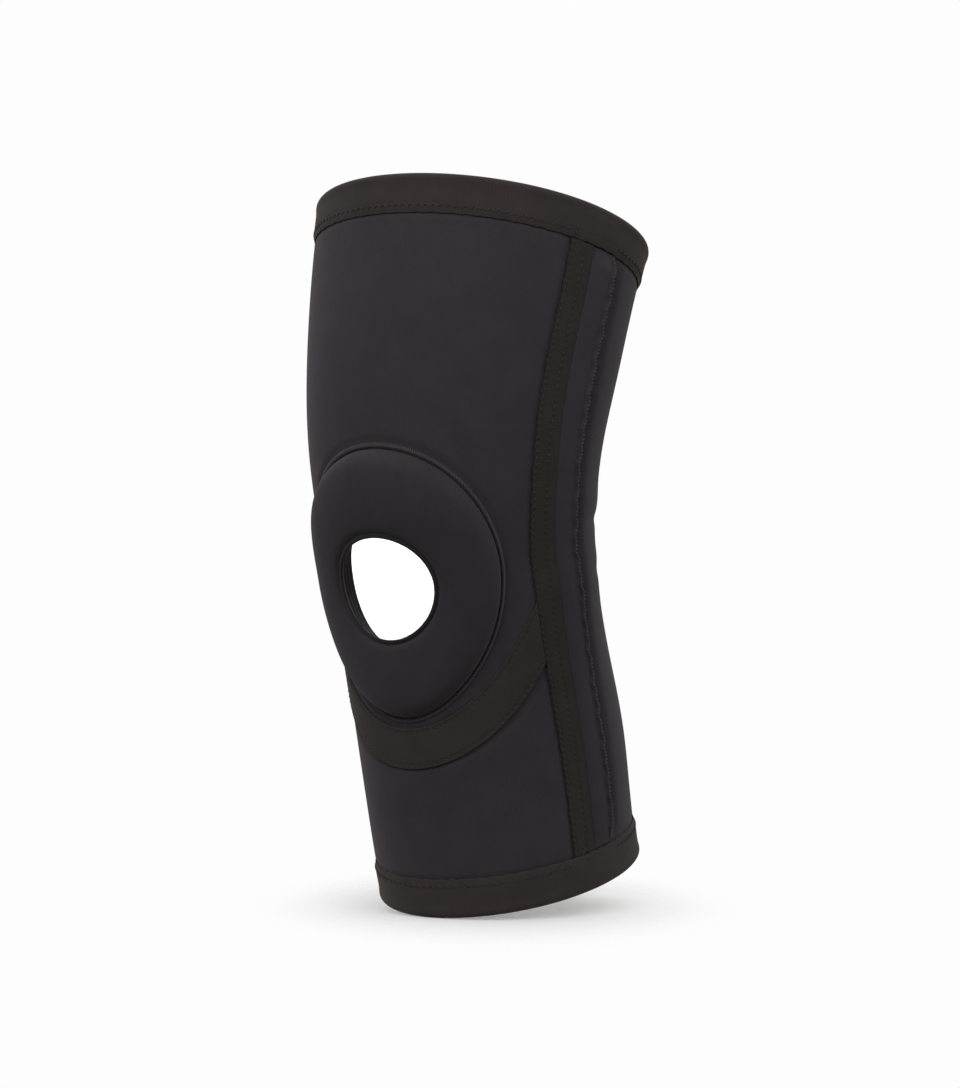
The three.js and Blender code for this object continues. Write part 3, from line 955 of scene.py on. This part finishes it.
def binding_section():
    """The middle line of a binding, as insets from the hem and heights, with its half thickness."""
    leg = (BINDING_WIDTH - FOLD_RADIUS) * (1 - np.cos(np.linspace(0, np.pi / 2, LEG_STEPS)))
    leg_inset = BINDING_WIDTH - leg
    turn = np.linspace(0, np.pi, FOLD_STEPS)[1:-1]
    inset = np.concatenate([leg_inset, FOLD_RADIUS - BINDING_MIDDLE * np.sin(turn), leg_inset[::-1]])
    inner_leg = np.full(LEG_STEPS, -BINDING_MIDDLE)
    height = np.concatenate([-inner_leg, BINDING_MIDDLE * np.cos(turn), inner_leg]) - NEOPRENE / 2
    outside = np.arange(len(inset)) < LEG_STEPS + FOLD_STEPS / 2
    settled = -BINDING_SQUEEZE * ease((inset - SETTLED_FROM) / SETTLED_REACH)
    settled = settled + valley(inset, ZIGZAG_SINK, ZIGZAG_VALLEY, away=ZIGZAG_INSET)
    taper = blend(EDGE_THINNING, 1, ease(leg / THINNED_REACH))
    settled[:LEG_STEPS] -= BINDING_THICKNESS / 2 * (1 - taper)
    half = rounded(leg, BINDING_THICKNESS / 2) * taper
    thick = np.concatenate([half, np.full(len(turn), BINDING_THICKNESS / 2), half[::-1]])
    return inset, height + np.where(outside, settled, 0), thick


print("stations in a binding's section:", len(binding_section()[0]))


# %% Round the hems
RING_STEPS = 360
EDGE_WOBBLE = {"height": (0.14, 0.084), "turns": (57, 83)}
WOBBLE_FROM, WOBBLE_REACH = 10, 8
POCKET_BUMP, POCKET_MIDDLE, POCKET_REACH, BUMP_RAMP = 0.6, 8, 13, 3


def hem_binding(name, end, node):
    """A binding round one hem."""
    inset, height, thick = binding_section()
    way = np.stack([np.gradient(inset), np.gradient(height)], -1)
    way = way / np.linalg.norm(way, axis=1, keepdims=True)
    out = np.stack([way[:, 1], -way[:, 0]], -1) * thick[:, None]
    loop_inset = np.concatenate([inset + out[:, 0], (inset - out[:, 0])[::-1]])
    loop_height = np.concatenate([height + out[:, 1], (height - out[:, 1])[::-1]])
    angle = np.linspace(-np.pi, np.pi, RING_STEPS, endpoint=False)[:, None]
    wobble = sum(h * np.sin(turns * angle) for h, turns in zip(*EDGE_WOBBLE.values()))
    wobble = wobble * ease((loop_inset - WOBBLE_FROM) / WOBBLE_REACH)
    on_leg = ease((loop_inset - FOLD_RADIUS) / BUMP_RAMP) * (loop_height > -NEOPRENE / 2)
    at_hem = end * THIGH_LENGTH
    past_seam = (np.abs(angle) - float(seam_angle(at_hem))) * millimetres_round(at_hem, angle)
    bump = POCKET_BUMP * np.exp(-((past_seam - POCKET_MIDDLE) / POCKET_REACH) ** 4) * on_leg
    along = end * (hem_distance(end, angle) - loop_inset - wobble)
    points = skin(along, angle, loop_height + bump)
    cloth = np.stack([loop_inset + 0 * angle, angle * WEAVE_RADIUS + 0 * loop_inset], -1)
    made = loft(name, points, cloth, [binding_tape_painted_lighter], ring=True)
    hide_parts(node)
    print(name, triangles(made), "triangles")
    return made


thigh_binding = hem_binding("thigh_binding_tape", 1, "thigh_binding")
calf_binding = hem_binding("calf_binding_tape", -1, "calf_binding")

# %% [markdown]
# ## The kneecap pad
# A ring of foam under stretched jersey, sewn down round its outer edge and at the opening. It is a
# grid of loops again: over the top from the outer edge to the opening, and back beneath. The
# section's table gives it a steep outer side, a broad crown and a slow fall to the opening, and the
# outer edge sinks into the foam where it is sewn.

# %% Pad grid
PAD_TURNS, PAD_ACROSS = 260, 56
PACKED_OUTWARD = 1.25
START_CROWN = 0.96
EDGE_SINK, EDGE_SINK_WIDTH = 0.9, 0.1


def ring_between(outer, inner, share):
    """The ring that lies part of the way from one ring to another."""
    return {name: blend(outer[name], inner[name], share) for name in outer}


def pad_rows(crown):
    """The pad as rows of loops: over the top from its outer edge to the opening, and back beneath."""
    turn = np.linspace(0, 2 * np.pi, PAD_TURNS, endpoint=False)[:, None]
    across = np.linspace(0, 1, PAD_ACROSS) ** PACKED_OUTWARD
    rises = curve_through(PAD_SECTION["across"], PAD_SECTION["height"], across)
    sunk = SEAM_GAP + valley(across, EDGE_SINK, EDGE_SINK_WIDTH)
    height = np.concatenate([sunk + PAD_CROWN * crown * rises, sunk[::-1]])
    across = np.concatenate([across, across[::-1]])
    rings = ring_between(PAD_RING, sewn_ring(height), across)
    points = kneecap_point(rings, turn, height)
    halfway = 1 - across / 2
    cloth = np.stack([PAD_RING["half_width"] * np.cos(turn) * halfway,
                      PAD_RING["half_height"] * np.sin(turn) * halfway], -1)
    return points, cloth


pad = loft("patella_pad_cover", *pad_rows(START_CROWN), [pad_jersey], ring=True)
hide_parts("patella_pad")
print("pad before filling:", triangles(pad), "triangles")

# %% [markdown]
# ## Filling the pad
# Jersey over foam is held along two seams and settles evenly between them. So the pad's crown is made
# a few hundredths flatter than its table, its sewn edges are pinned, and a cloth simulation with air
# pressure lets it settle. The jersey is stiff against that pressure, so it moves by hundredths of a
# millimetre only, which suits firm foam. With a hundredth of the stiffness it would swell by about
# 0.8 mm, and the cap on its movement holds it there. A voxel remesh would even out a coarse mesh
# first, but this grid is even already, and a remesh would lose the clean edge at the opening.

# %% Fill the pad
PRESSURE = 4
FRAMES = 20
MOST_SWELL = 0.8
SEWN_OUTSIDE, SEWN_INSIDE = 4, 2
STRETCHED_JERSEY = {"quality": 6, "mass": 0.2, "tension_stiffness": 25, "compression_stiffness": 25,
                    "bending_stiffness": 2, "use_pressure": True, "uniform_pressure_force": PRESSURE}


def points_of(mesh):
    """The places of a mesh's vertices."""
    places = np.empty(len(mesh.vertices) * 3, np.float32)
    mesh.vertices.foreach_get("co", places)
    return places.reshape(-1, 3)


def fill(piece, pinned):
    """Lets a piece settle by cloth simulation under pressure, with some of its vertices pinned."""
    start = points_of(piece.data)
    sewn = piece.vertex_groups.new(name="sewn")
    sewn.add(pinned.tolist(), 1.0, "REPLACE")
    cloth = piece.modifiers.new("jersey", "CLOTH")
    cloth.settings.vertex_group_mass = sewn.name
    for setting, value in STRETCHED_JERSEY.items():
        setattr(cloth.settings, setting, value)
    cloth.settings.effector_weights.gravity = 0
    cloth.collision_settings.use_collision = False
    for step in range(1, FRAMES + 1):
        bpy.context.scene.frame_set(step)
    swollen = points_of(piece.evaluated_get(bpy.context.evaluated_depsgraph_get()).data)
    piece.modifiers.clear()
    bpy.context.scene.frame_set(1)
    move = swollen - start
    length = np.linalg.norm(move, axis=1, keepdims=True)
    move *= np.minimum(1, MOST_SWELL * MM / np.maximum(length, 1e-9))
    piece.data.vertices.foreach_set("co", (start + move).ravel())
    piece.data.update()
    return length / MM


loop = np.arange(2 * PAD_ACROSS)
held = (loop >= PAD_ACROSS - SEWN_INSIDE) | (loop < SEWN_OUTSIDE)
pinned = (np.arange(PAD_TURNS)[:, None] * 2 * PAD_ACROSS + loop[held]).ravel()
swell = fill(pad, pinned)
print("the pad swelled by up to", round(float(swell.max()), 2), "mm")

# %% [markdown]
# ## The rim of the opening
# Inside the opening the cut edges of pad and panel are bound by a thin fold of jersey. In front it ends
# in a rolled lip that stands a little over the pad, and shallow grooves run round it where it is
# topstitched: they show as fine parallel lines on the wall of the opening. The lip is a wider, round
# end of the same section, so that rim and lip are one piece, as they are when sewn.

# %% Rim
RIM_GROOVES = (2.2, 0.2, -1.8)
RIM_TURNS = 200
RIM_STEPS = 56
GROOVE_DEPTH, GROOVE_WIDTH = 0.22, 0.4
LIP_RADIUS = 1.05
LIP_RISE = 0.35
LIP_STARTS, LIP_BLENDS = 3.2, 2.2


def rim_rows():
    """The rim as rows of loops: its outer face in the opening, and back behind it."""
    lowest, highest = -NEOPRENE - RIM_THICKNESS / 2, LIP_HEIGHT + LIP_RISE
    height, half = ribbon_section(lowest, highest, RIM_THICKNESS, RIM_STEPS)
    roll = ease((height - highest + LIP_STARTS) / LIP_BLENDS)
    body = blend(RIM_THICKNESS / 2, LIP_RADIUS, roll)
    half = np.where(roll > 0, np.minimum(body, rounded(highest - height, LIP_RADIUS)), half)
    groove = -sum(valley(height, GROOVE_DEPTH, GROOVE_WIDTH, away=at) for at in RIM_GROOVES)
    turn = np.linspace(0, 2 * np.pi, RIM_TURNS, endpoint=False)[:, None]
    middle = RIM_THICKNESS - body + groove
    margin = np.concatenate([middle - half, (middle + half)[::-1]])
    height = np.concatenate([height, height[::-1]])
    points = kneecap_point(grown(OPENING, flare_at(height) + margin), turn, height)
    return points, np.stack([height + 0 * turn, turn * OPENING["half_width"] + 0 * height], -1)


# The rim's dark colour is painted shade on the wall of the opening.
rim = loft("patella_rim_binding", *rim_rows(), [rim_jersey_painted_shade], ring=True)
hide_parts("patella_rim")
print(rim.name, triangles(rim), "triangles")

# %% [markdown]
# ## Stitches
# Each stitch is a short bent tube that rises out of the cloth and dives back into it. Hundreds of them
# are one mesh, made by one function from the two ends of each stitch on the seam's own surface.
# Drawing them in a material's bump would be lighter, but they would vanish at the outline.
# The thread is 0.35 mm thick on the real sleeve and is drawn at 0.5 mm, so that it shows.

# %% Sewing
THREAD = 0.5
THREAD_SIDES = 6
THREAD_STEPS = 6
SINK = 0.25
FLAT_TOP = 0.6
THIN_END = 0.55


def sew(name, place, starts, ends, base, rise, colour=thread):
    """One mesh of stitches. place(a, b, height) is the seam's surface, starts and ends are its (a, b)."""
    t = np.linspace(0, 1, THREAD_STEPS)
    a = blend(starts[:, :1], ends[:, :1], t)
    b = blend(starts[:, 1:], ends[:, 1:], t)
    height = base - SINK + (rise + SINK) * np.sin(np.pi * t) ** FLAT_TOP
    line = place(a, b, height)
    out = place(a, b, height + 1) - line
    along = np.gradient(line, axis=1)
    along /= np.linalg.norm(along, axis=2, keepdims=True)
    side = np.cross(along, out)
    side /= np.linalg.norm(side, axis=2, keepdims=True)
    up = np.cross(side, along)
    turn = np.linspace(0, 2 * np.pi, THREAD_SIDES, endpoint=False)[:, None]
    radius = THREAD / 2 * blend(THIN_END, 1, np.sin(np.pi * t))[:, None, None]
    points = line[:, :, None] + radius * (np.cos(turn) * side[:, :, None] + np.sin(turn) * up[:, :, None])
    count = len(starts)
    index = np.arange(count * THREAD_STEPS * THREAD_SIDES).reshape(count, THREAD_STEPS, THREAD_SIDES)
    here, ahead = index[:, :-1], index[:, 1:]
    walls = np.stack([here, np.roll(here, -1, 2), np.roll(ahead, -1, 2), ahead], -1).reshape(-1, 4)
    caps = index[:, [0, -1]].reshape(-1, THREAD_SIDES)
    mesh = bpy.data.meshes.new(name)
    mesh.from_pydata((points.reshape(-1, 3) * MM).tolist(), [], walls.tolist() + caps.tolist())
    lies = mesh.attributes.new("cloth", "FLOAT_VECTOR", "POINT")
    reach = np.linalg.norm(line - line[:, :1], axis=2)
    flat = np.zeros(points.shape, np.float32)
    flat[..., 0] = np.linspace(0, THREAD_TURN, THREAD_SIDES, endpoint=False)
    flat[..., 1] = reach[:, :, None]
    lies.data.foreach_set("vector", flat.ravel())
    made = finish_mesh(name, mesh, [colour])
    print(name, count, "stitches", triangles(made), "triangles")
    return made


# %% [markdown]
# ## Where the stitches go
# A machine feeds the cloth by the same step each time, so needle holes lie evenly on the cloth and not
# in its coordinates: the line is measured, and cut into whole steps. The rest is each row's own figure,
# a run, a slant or a zigzag between two offsets from the seam.

# %% Rows of stitches
LINE_SAMPLES = 2000
RUNNING_SHARE = 0.72


def evenly(place, first, last, pitch, closed=False):
    """Places along a line that lie one pitch apart on the cloth. place(value) gives points."""
    values = np.linspace(first, last, LINE_SAMPLES)
    gaps = np.linalg.norm(np.diff(place(values), axis=0), axis=1)
    length = np.concatenate([[0], np.cumsum(gaps)])
    count = max(2, round(length[-1] / pitch))
    marks = np.linspace(0, length[-1], count + 1)
    return np.interp(marks[:-1] if closed else marks, length, values)


def slanted(values, low, high, lean):
    """Ends of a row of stitches that cross a seam from low to high and lean along it."""
    starts = np.stack([values, np.full(len(values), low)], -1)
    return starts, np.stack([values + lean, np.full(len(values), high)], -1)


def running(values, offset):
    """Ends of a row of running stitches: each fills part of its pitch."""
    return slanted(values[:-1], offset, offset, np.diff(values) * RUNNING_SHARE)


def zigzag(values, low, high):
    """Ends of a zigzag between two offsets."""
    offset = np.where(np.arange(len(values)) % 2 == 0, low, high)
    points = np.stack([values, offset], -1)
    return points[:-1], points[1:]


print("a zigzag of two stitches:", [ends.tolist() for ends in zigzag(np.arange(3), -1, 1)])

# %% [markdown]
# ## Rows on the tapes and the ridges
# The side tapes have two needle rows each, and the shin tape one along each edge: plain running
# stitches that lie in the valleys made for them. The ridge of a pocket is overcast with whip
# stitches, short and close, which lean along the ridge and climb over it.

# %% Stitch rows on the tapes and the ridges
ROW_RISE = 0.25
WHIP_PITCH = 1.7
WHIP_LEAN = 0.9
WHIP_ACROSS = (0.91, 1.0)
WHIP_BASE, WHIP_RISE = SEAM_GAP + POCKET_THICKNESS * 0.9, 0.75
for side_name, side in (("left", 1), ("right", -1)):
    def tape_place(along, offset, height, side=side):
        return skin(along, side * beside_seam(along, offset), height)

    ends = side_stations(2)
    for row_name, offset in zip(("front", "rear"), SIDE_ROWS):
        marks = evenly(lambda along: tape_place(along, offset, 0), ends[0], ends[1], ROW_PITCH)
        sew(f"side_tape_{side_name}_{row_name}_stitches", tape_place,
                                 *running(marks, offset), base=TAPE_FACE - ROW_SINK, rise=ROW_RISE)

    def ridge_place(along, share, height, side=side):
        front, rear = pocket_edges(along)
        return skin(along, side * beside_seam(along, blend(front, rear, share)), height * pocket_swell(along))

    marks = evenly(lambda along: ridge_place(along, 1.0, 0), ends[0], ends[1], WHIP_PITCH)[1:-2]
    # The ridge's pale overlock thread is a painted highlight.
    sew(f"stay_pocket_{side_name}_whip_stitches", ridge_place,
                             *slanted(marks, *WHIP_ACROSS, WHIP_LEAN),
                             base=WHIP_BASE, rise=WHIP_RISE, colour=overlock_thread_painted_highlight)

for row_name, offset in zip(("lower", "upper"), SHIN_ROWS_AT):
    marks = evenly(lambda across: shin_place(across, offset, 0), -1, 1, ROW_PITCH)
    sew(f"shin_tape_{row_name}_stitches", shin_place, *running(marks, offset),
                             base=TAPE_FACE - ROW_SINK, rise=ROW_RISE)

# %% [markdown]
# ## Zigzag and ladder
# A binding has to stretch with the hem, so a zigzag holds it: a straight row would snap. Round the pad
# a close ladder of leaning threads crosses the groove between pad and panel. Its threads lie side by
# side like a cord, and give the photographed groove its fine bead of light, partly by their form and
# partly by their paler colour, which is a painted highlight.

# %% Zigzag on the bindings and the ladder round the pad
ZIGZAG_PITCH = 1.8
ZIGZAG_REACH = 0.9
ZIGZAG_RISE = 0.2
BINDING_FACE = SEAM_GAP + BINDING_THICKNESS - BINDING_SQUEEZE
for name, end in (("thigh", 1), ("calf", -1)):
    def hem_place(angle, inset, height, end=end):
        return skin(end * (hem_distance(end, angle) - inset), angle, height)

    marks = evenly(lambda angle: hem_place(angle, ZIGZAG_INSET, 0), -np.pi, np.pi, ZIGZAG_PITCH)
    sew(f"{name}_binding_zigzag", hem_place,
                             *zigzag(marks, ZIGZAG_INSET - ZIGZAG_REACH, ZIGZAG_INSET + ZIGZAG_REACH),
                             base=BINDING_FACE - ZIGZAG_SINK, rise=ZIGZAG_RISE)


def pad_seam_place(turn, margin, height):
    """Points beside the pad's outer edge, a margin outside it."""
    return kneecap_point(grown(PAD_RING, margin), turn, height)


LADDER_PITCH = 0.9
LADDER_MARGINS = (0.55, 2.25)
LADDER_BASE, LADDER_RISE = -0.25, 0.45
marks = evenly(lambda turn: pad_seam_place(turn, 0, 0), 0, 2 * np.pi, LADDER_PITCH, closed=True)
lean = 2 * float(np.diff(marks).mean())
# The ladder's pale overlock thread is a painted highlight in the pad's groove.
sew("patella_pad_ladder_stitches", pad_seam_place,
                         *slanted(marks, *LADDER_MARGINS, lean),
                         base=LADDER_BASE, rise=LADDER_RISE, colour=overlock_thread_painted_highlight)

# %% [markdown]
# ## Tacks at the side seams
# Where a side tape meets a binding, one of its rows is run on over the binding for a few stitches, so
# that it can't come undone. The photo shows one such tack at each hem, and the far side gets them too.

# %% Stitches that run on over the bindings
TACK = (12.6, 17.4)
TACK_MARKS = 3
TACK_LIFT, TACK_RISE = 0.25, 0.3
FRONT_QUARTER = 1.25
for name, end, offset in (("thigh", 1, SIDE_ROWS[0]), ("calf", -1, SIDE_ROWS[1])):
    for side_name, side in (("left", 1), ("right", -1)):
        seam = side * float(beside_seam(end * (hem_distance(end, FRONT_QUARTER) - BINDING_WIDTH), offset))

        def tack_place(inset, turned, height, end=end, seam=seam):
            return skin(end * (hem_distance(end, seam) - inset), seam + turned, height)

        marks = np.linspace(*TACK, TACK_MARKS)
        sew(f"{name}_binding_{side_name}_tack", tack_place,
                                 *running(marks, 0.0), base=BINDING_FACE + TACK_LIFT, rise=TACK_RISE)

# %% [markdown]
# ## Measures of the cut cloth
# Worn neoprene of this kind is stretched by about a twentieth. Half of the thigh hem's length, how far
# along it the side seam lies, and the width of the front between the side seams below the knee are
# worked out here. The pad is a stuffed piece.


hem_steps = np.diff(skin(THIGH_LENGTH, half_turn, 0), axis=0)
hem_half = float(np.linalg.norm(hem_steps, axis=1).sum())
even_round = np.linspace(0, hem_half, len(half_turn))
hem_front = float(np.interp(float(seam_angle(THIGH_LENGTH)), half_turn, even_round))
shin_round = float(seam_angle(-SHIN_SEAM_SIDE)) * KNEE_WIDTH

# %% [markdown]
# ## The floor
# A product photograph stands on white paper that runs up into a white wall, so that only the contact
# shadow tells where the floor is. A curved sweep would do that for one camera. Here the paper is a
# flat sheet that grows clear away from the sleeve, along an ellipse on the sheet itself, so the
# shadow fades out softly from every side. It is paper: matt, without any gloss.

# %% Floor
PAPER_HALF = 0.3
PAPER_BELOW = 0.0002
PAPER_SOLID, PAPER_GONE, PAPER_THIN = 0.2, 1.0, 0.1
SHADOW_CENTRE = (-0.014, 0.045)
SHADOW_REACH = (0.115, 0.21)
SHADOW_TURN = math.radians(36)
lowest = cad_box[0][2] - PAPER_BELOW
paper_corners = [(x * PAPER_HALF, y * PAPER_HALF, lowest) for x, y in ((-1, -1), (1, -1), (1, 1), (-1, 1))]
floor_mesh = bpy.data.meshes.new("floor")
floor_mesh.from_pydata(paper_corners, [], [(0, 1, 2, 3)])
floor = bpy.data.objects.new("floor", floor_mesh)
bpy.context.scene.collection.objects.link(floor)
paper = bpy.data.materials.new("white_paper_sweep")
paper.use_nodes = True
tree = paper.node_tree
tree.nodes.clear()
place = add(tree, "TexCoord").outputs["Object"]
share = add(tree, "Mapping", {"vector_type": "TEXTURE"}, Vector=place, Location=(*SHADOW_CENTRE, lowest),
            Rotation=(0, 0, SHADOW_TURN), Scale=(*SHADOW_REACH, 1))
away = add(tree, "VectorMath", {"operation": "LENGTH"}, i0=share.outputs["Vector"])
gone = add(tree, "MapRange", {"interpolation_type": "SMOOTHSTEP"}, Value=away.outputs["Value"],
           From_Min=PAPER_SOLID, From_Max=PAPER_GONE, To_Min=PAPER_THIN)
sheet_white = add(tree, "BsdfDiffuse", Color=linear("#f2f2f2"), Roughness=0.5)
clear = add(tree, "BsdfTransparent")
melted = add(tree, "MixShader", Fac=gone.outputs["Result"], i1=sheet_white.outputs[0], i2=clear.outputs[0])
add(tree, "OutputMaterial", Surface=melted.outputs[0])
floor_mesh.materials.append(paper)
floor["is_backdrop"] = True
print("paper", round(2 * PAPER_HALF / MM), "mm wide, at z", round(lowest / MM, 1), "mm")

# %% [markdown]
# ## The light
# Black cloth needs big, soft lamps: it shows form only by where it is a little less black. A wide sun
# from above stands for the studio's ceiling and throws the soft shadow. A key softbox in front, a
# weaker one at the side and a faint one behind light the sleeve alone, by light linking, because on
# the white paper their pools would show. A small lamp in the hollow whitens the lining that is seen
# through the opening. The world is white to the camera and dimmer as a light, as a backdrop with
# lamps of its own is.

# %% The room
ROOM_LIGHT = 0.21
world = bpy.data.worlds.new("studio")
bpy.context.scene.world = world
world.use_nodes = True
sky = world.node_tree
sky.nodes.clear()
seen = add(sky, "LightPath").outputs["Is Camera Ray"]
backdrop = add(sky, "Background", Color=linear("#fdfdfd"), Strength=1.0)
room = add(sky, "Background", Color=linear("#ffffff"), Strength=ROOM_LIGHT)
either = add(sky, "MixShader", Fac=seen, i1=room.outputs[0], i2=backdrop.outputs[0])
add(sky, "OutputWorld", Surface=either.outputs[0])
print("the room gives", ROOM_LIGHT, "of the backdrop's light")


# %% Lamps
CEILING_POWER, CEILING_SPREAD = 2.4, math.radians(170)
SOFTBOXES = {
    "name": ("key_softbox", "side_softbox", "rear_softbox"),
    "azimuth": (8, 72, 140),
    "elevation": (38, 20, 12),
    "distance": (2.0, 2.2, 1.8),
    "size": (1.4, 0.7, 1.0),
    "watts": (18, 6, 0.8),
}
HOLLOW_LAMP = {"place": (-0.022, 0.004, -0.006), "aim": (-0.05, 0.026, -0.014), "size": 0.06, "watts": 0.042}


def lamp(name, place, aim, size, watts):
    """A square softbox that faces a point and isn't seen itself."""
    light = bpy.data.lights.new(name, "AREA")
    light.shape = "SQUARE"
    light.size = size
    light.energy = watts
    placed = bpy.data.objects.new(name, light)
    bpy.context.scene.collection.objects.link(placed)
    placed.location = place
    placed.rotation_euler = (Vector(aim) - Vector(place)).to_track_quat("-Z", "Y").to_euler()
    placed.visible_camera = False
    return placed


def around(azimuth, elevation, distance):
    """A place round the sleeve: azimuth in degrees from its front towards its left side."""
    turn, rise = math.radians(azimuth), math.radians(elevation)
    flat = distance * math.cos(rise)
    return (flat * math.sin(turn), -flat * math.cos(turn), distance * math.sin(rise))


ceiling = bpy.data.lights.new("ceiling", "SUN")
ceiling.energy = CEILING_POWER
ceiling.angle = CEILING_SPREAD
bpy.context.scene.collection.objects.link(bpy.data.objects.new("ceiling", ceiling))
lamp("lamp_in_the_hollow", **HOLLOW_LAMP)
lit = bpy.data.collections.new("lit_by_softboxes")
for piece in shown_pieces():
    lit.objects.link(piece)
for name, azimuth, elevation, distance, size, watts in zip(*SOFTBOXES.values()):
    softbox = lamp(name, around(azimuth, elevation, distance), (0, 0, 0), size, watts)
    softbox.light_linking.receiver_collection = lit

# %% [markdown]
# ## The camera
# It stands where the photographer's did: level with the knee, 36 degrees round to the left side of
# the leg, 1.6 m away. A long lens from far off keeps the hems flat, as in the photo. The lens follows
# from how many pixels a millimetre takes, and a small shift puts the kneecap's middle in its place.

# %% Camera
CAMERA_ROUND = math.radians(36)
CAMERA_AWAY = 1.6
CAMERA_HEIGHT = 0.003
PIXELS_PER_MM = 2.23
IMAGE_WIDTH, IMAGE_HEIGHT = 960, 1088
AIM_X, AIM_Y = 462.0, 555.8
SENSOR = 36

lens = bpy.data.cameras.new("camera")
lens.sensor_width = SENSOR
lens.lens = PIXELS_PER_MM / MM * CAMERA_AWAY / IMAGE_HEIGHT * SENSOR
lens.shift_x = (IMAGE_WIDTH / 2 - AIM_X) / IMAGE_HEIGHT
lens.shift_y = (AIM_Y - IMAGE_HEIGHT / 2) / IMAGE_HEIGHT
camera = bpy.data.objects.new("camera", lens)
bpy.context.scene.collection.objects.link(camera)
camera.location = (CAMERA_AWAY * math.sin(CAMERA_ROUND), -CAMERA_AWAY * math.cos(CAMERA_ROUND), CAMERA_HEIGHT)
camera.rotation_euler = (math.pi / 2, 0, CAMERA_ROUND)
bpy.context.scene.camera = camera
bpy.context.scene.view_settings.view_transform = "Standard"
print("lens, mm:", round(lens.lens, 1))
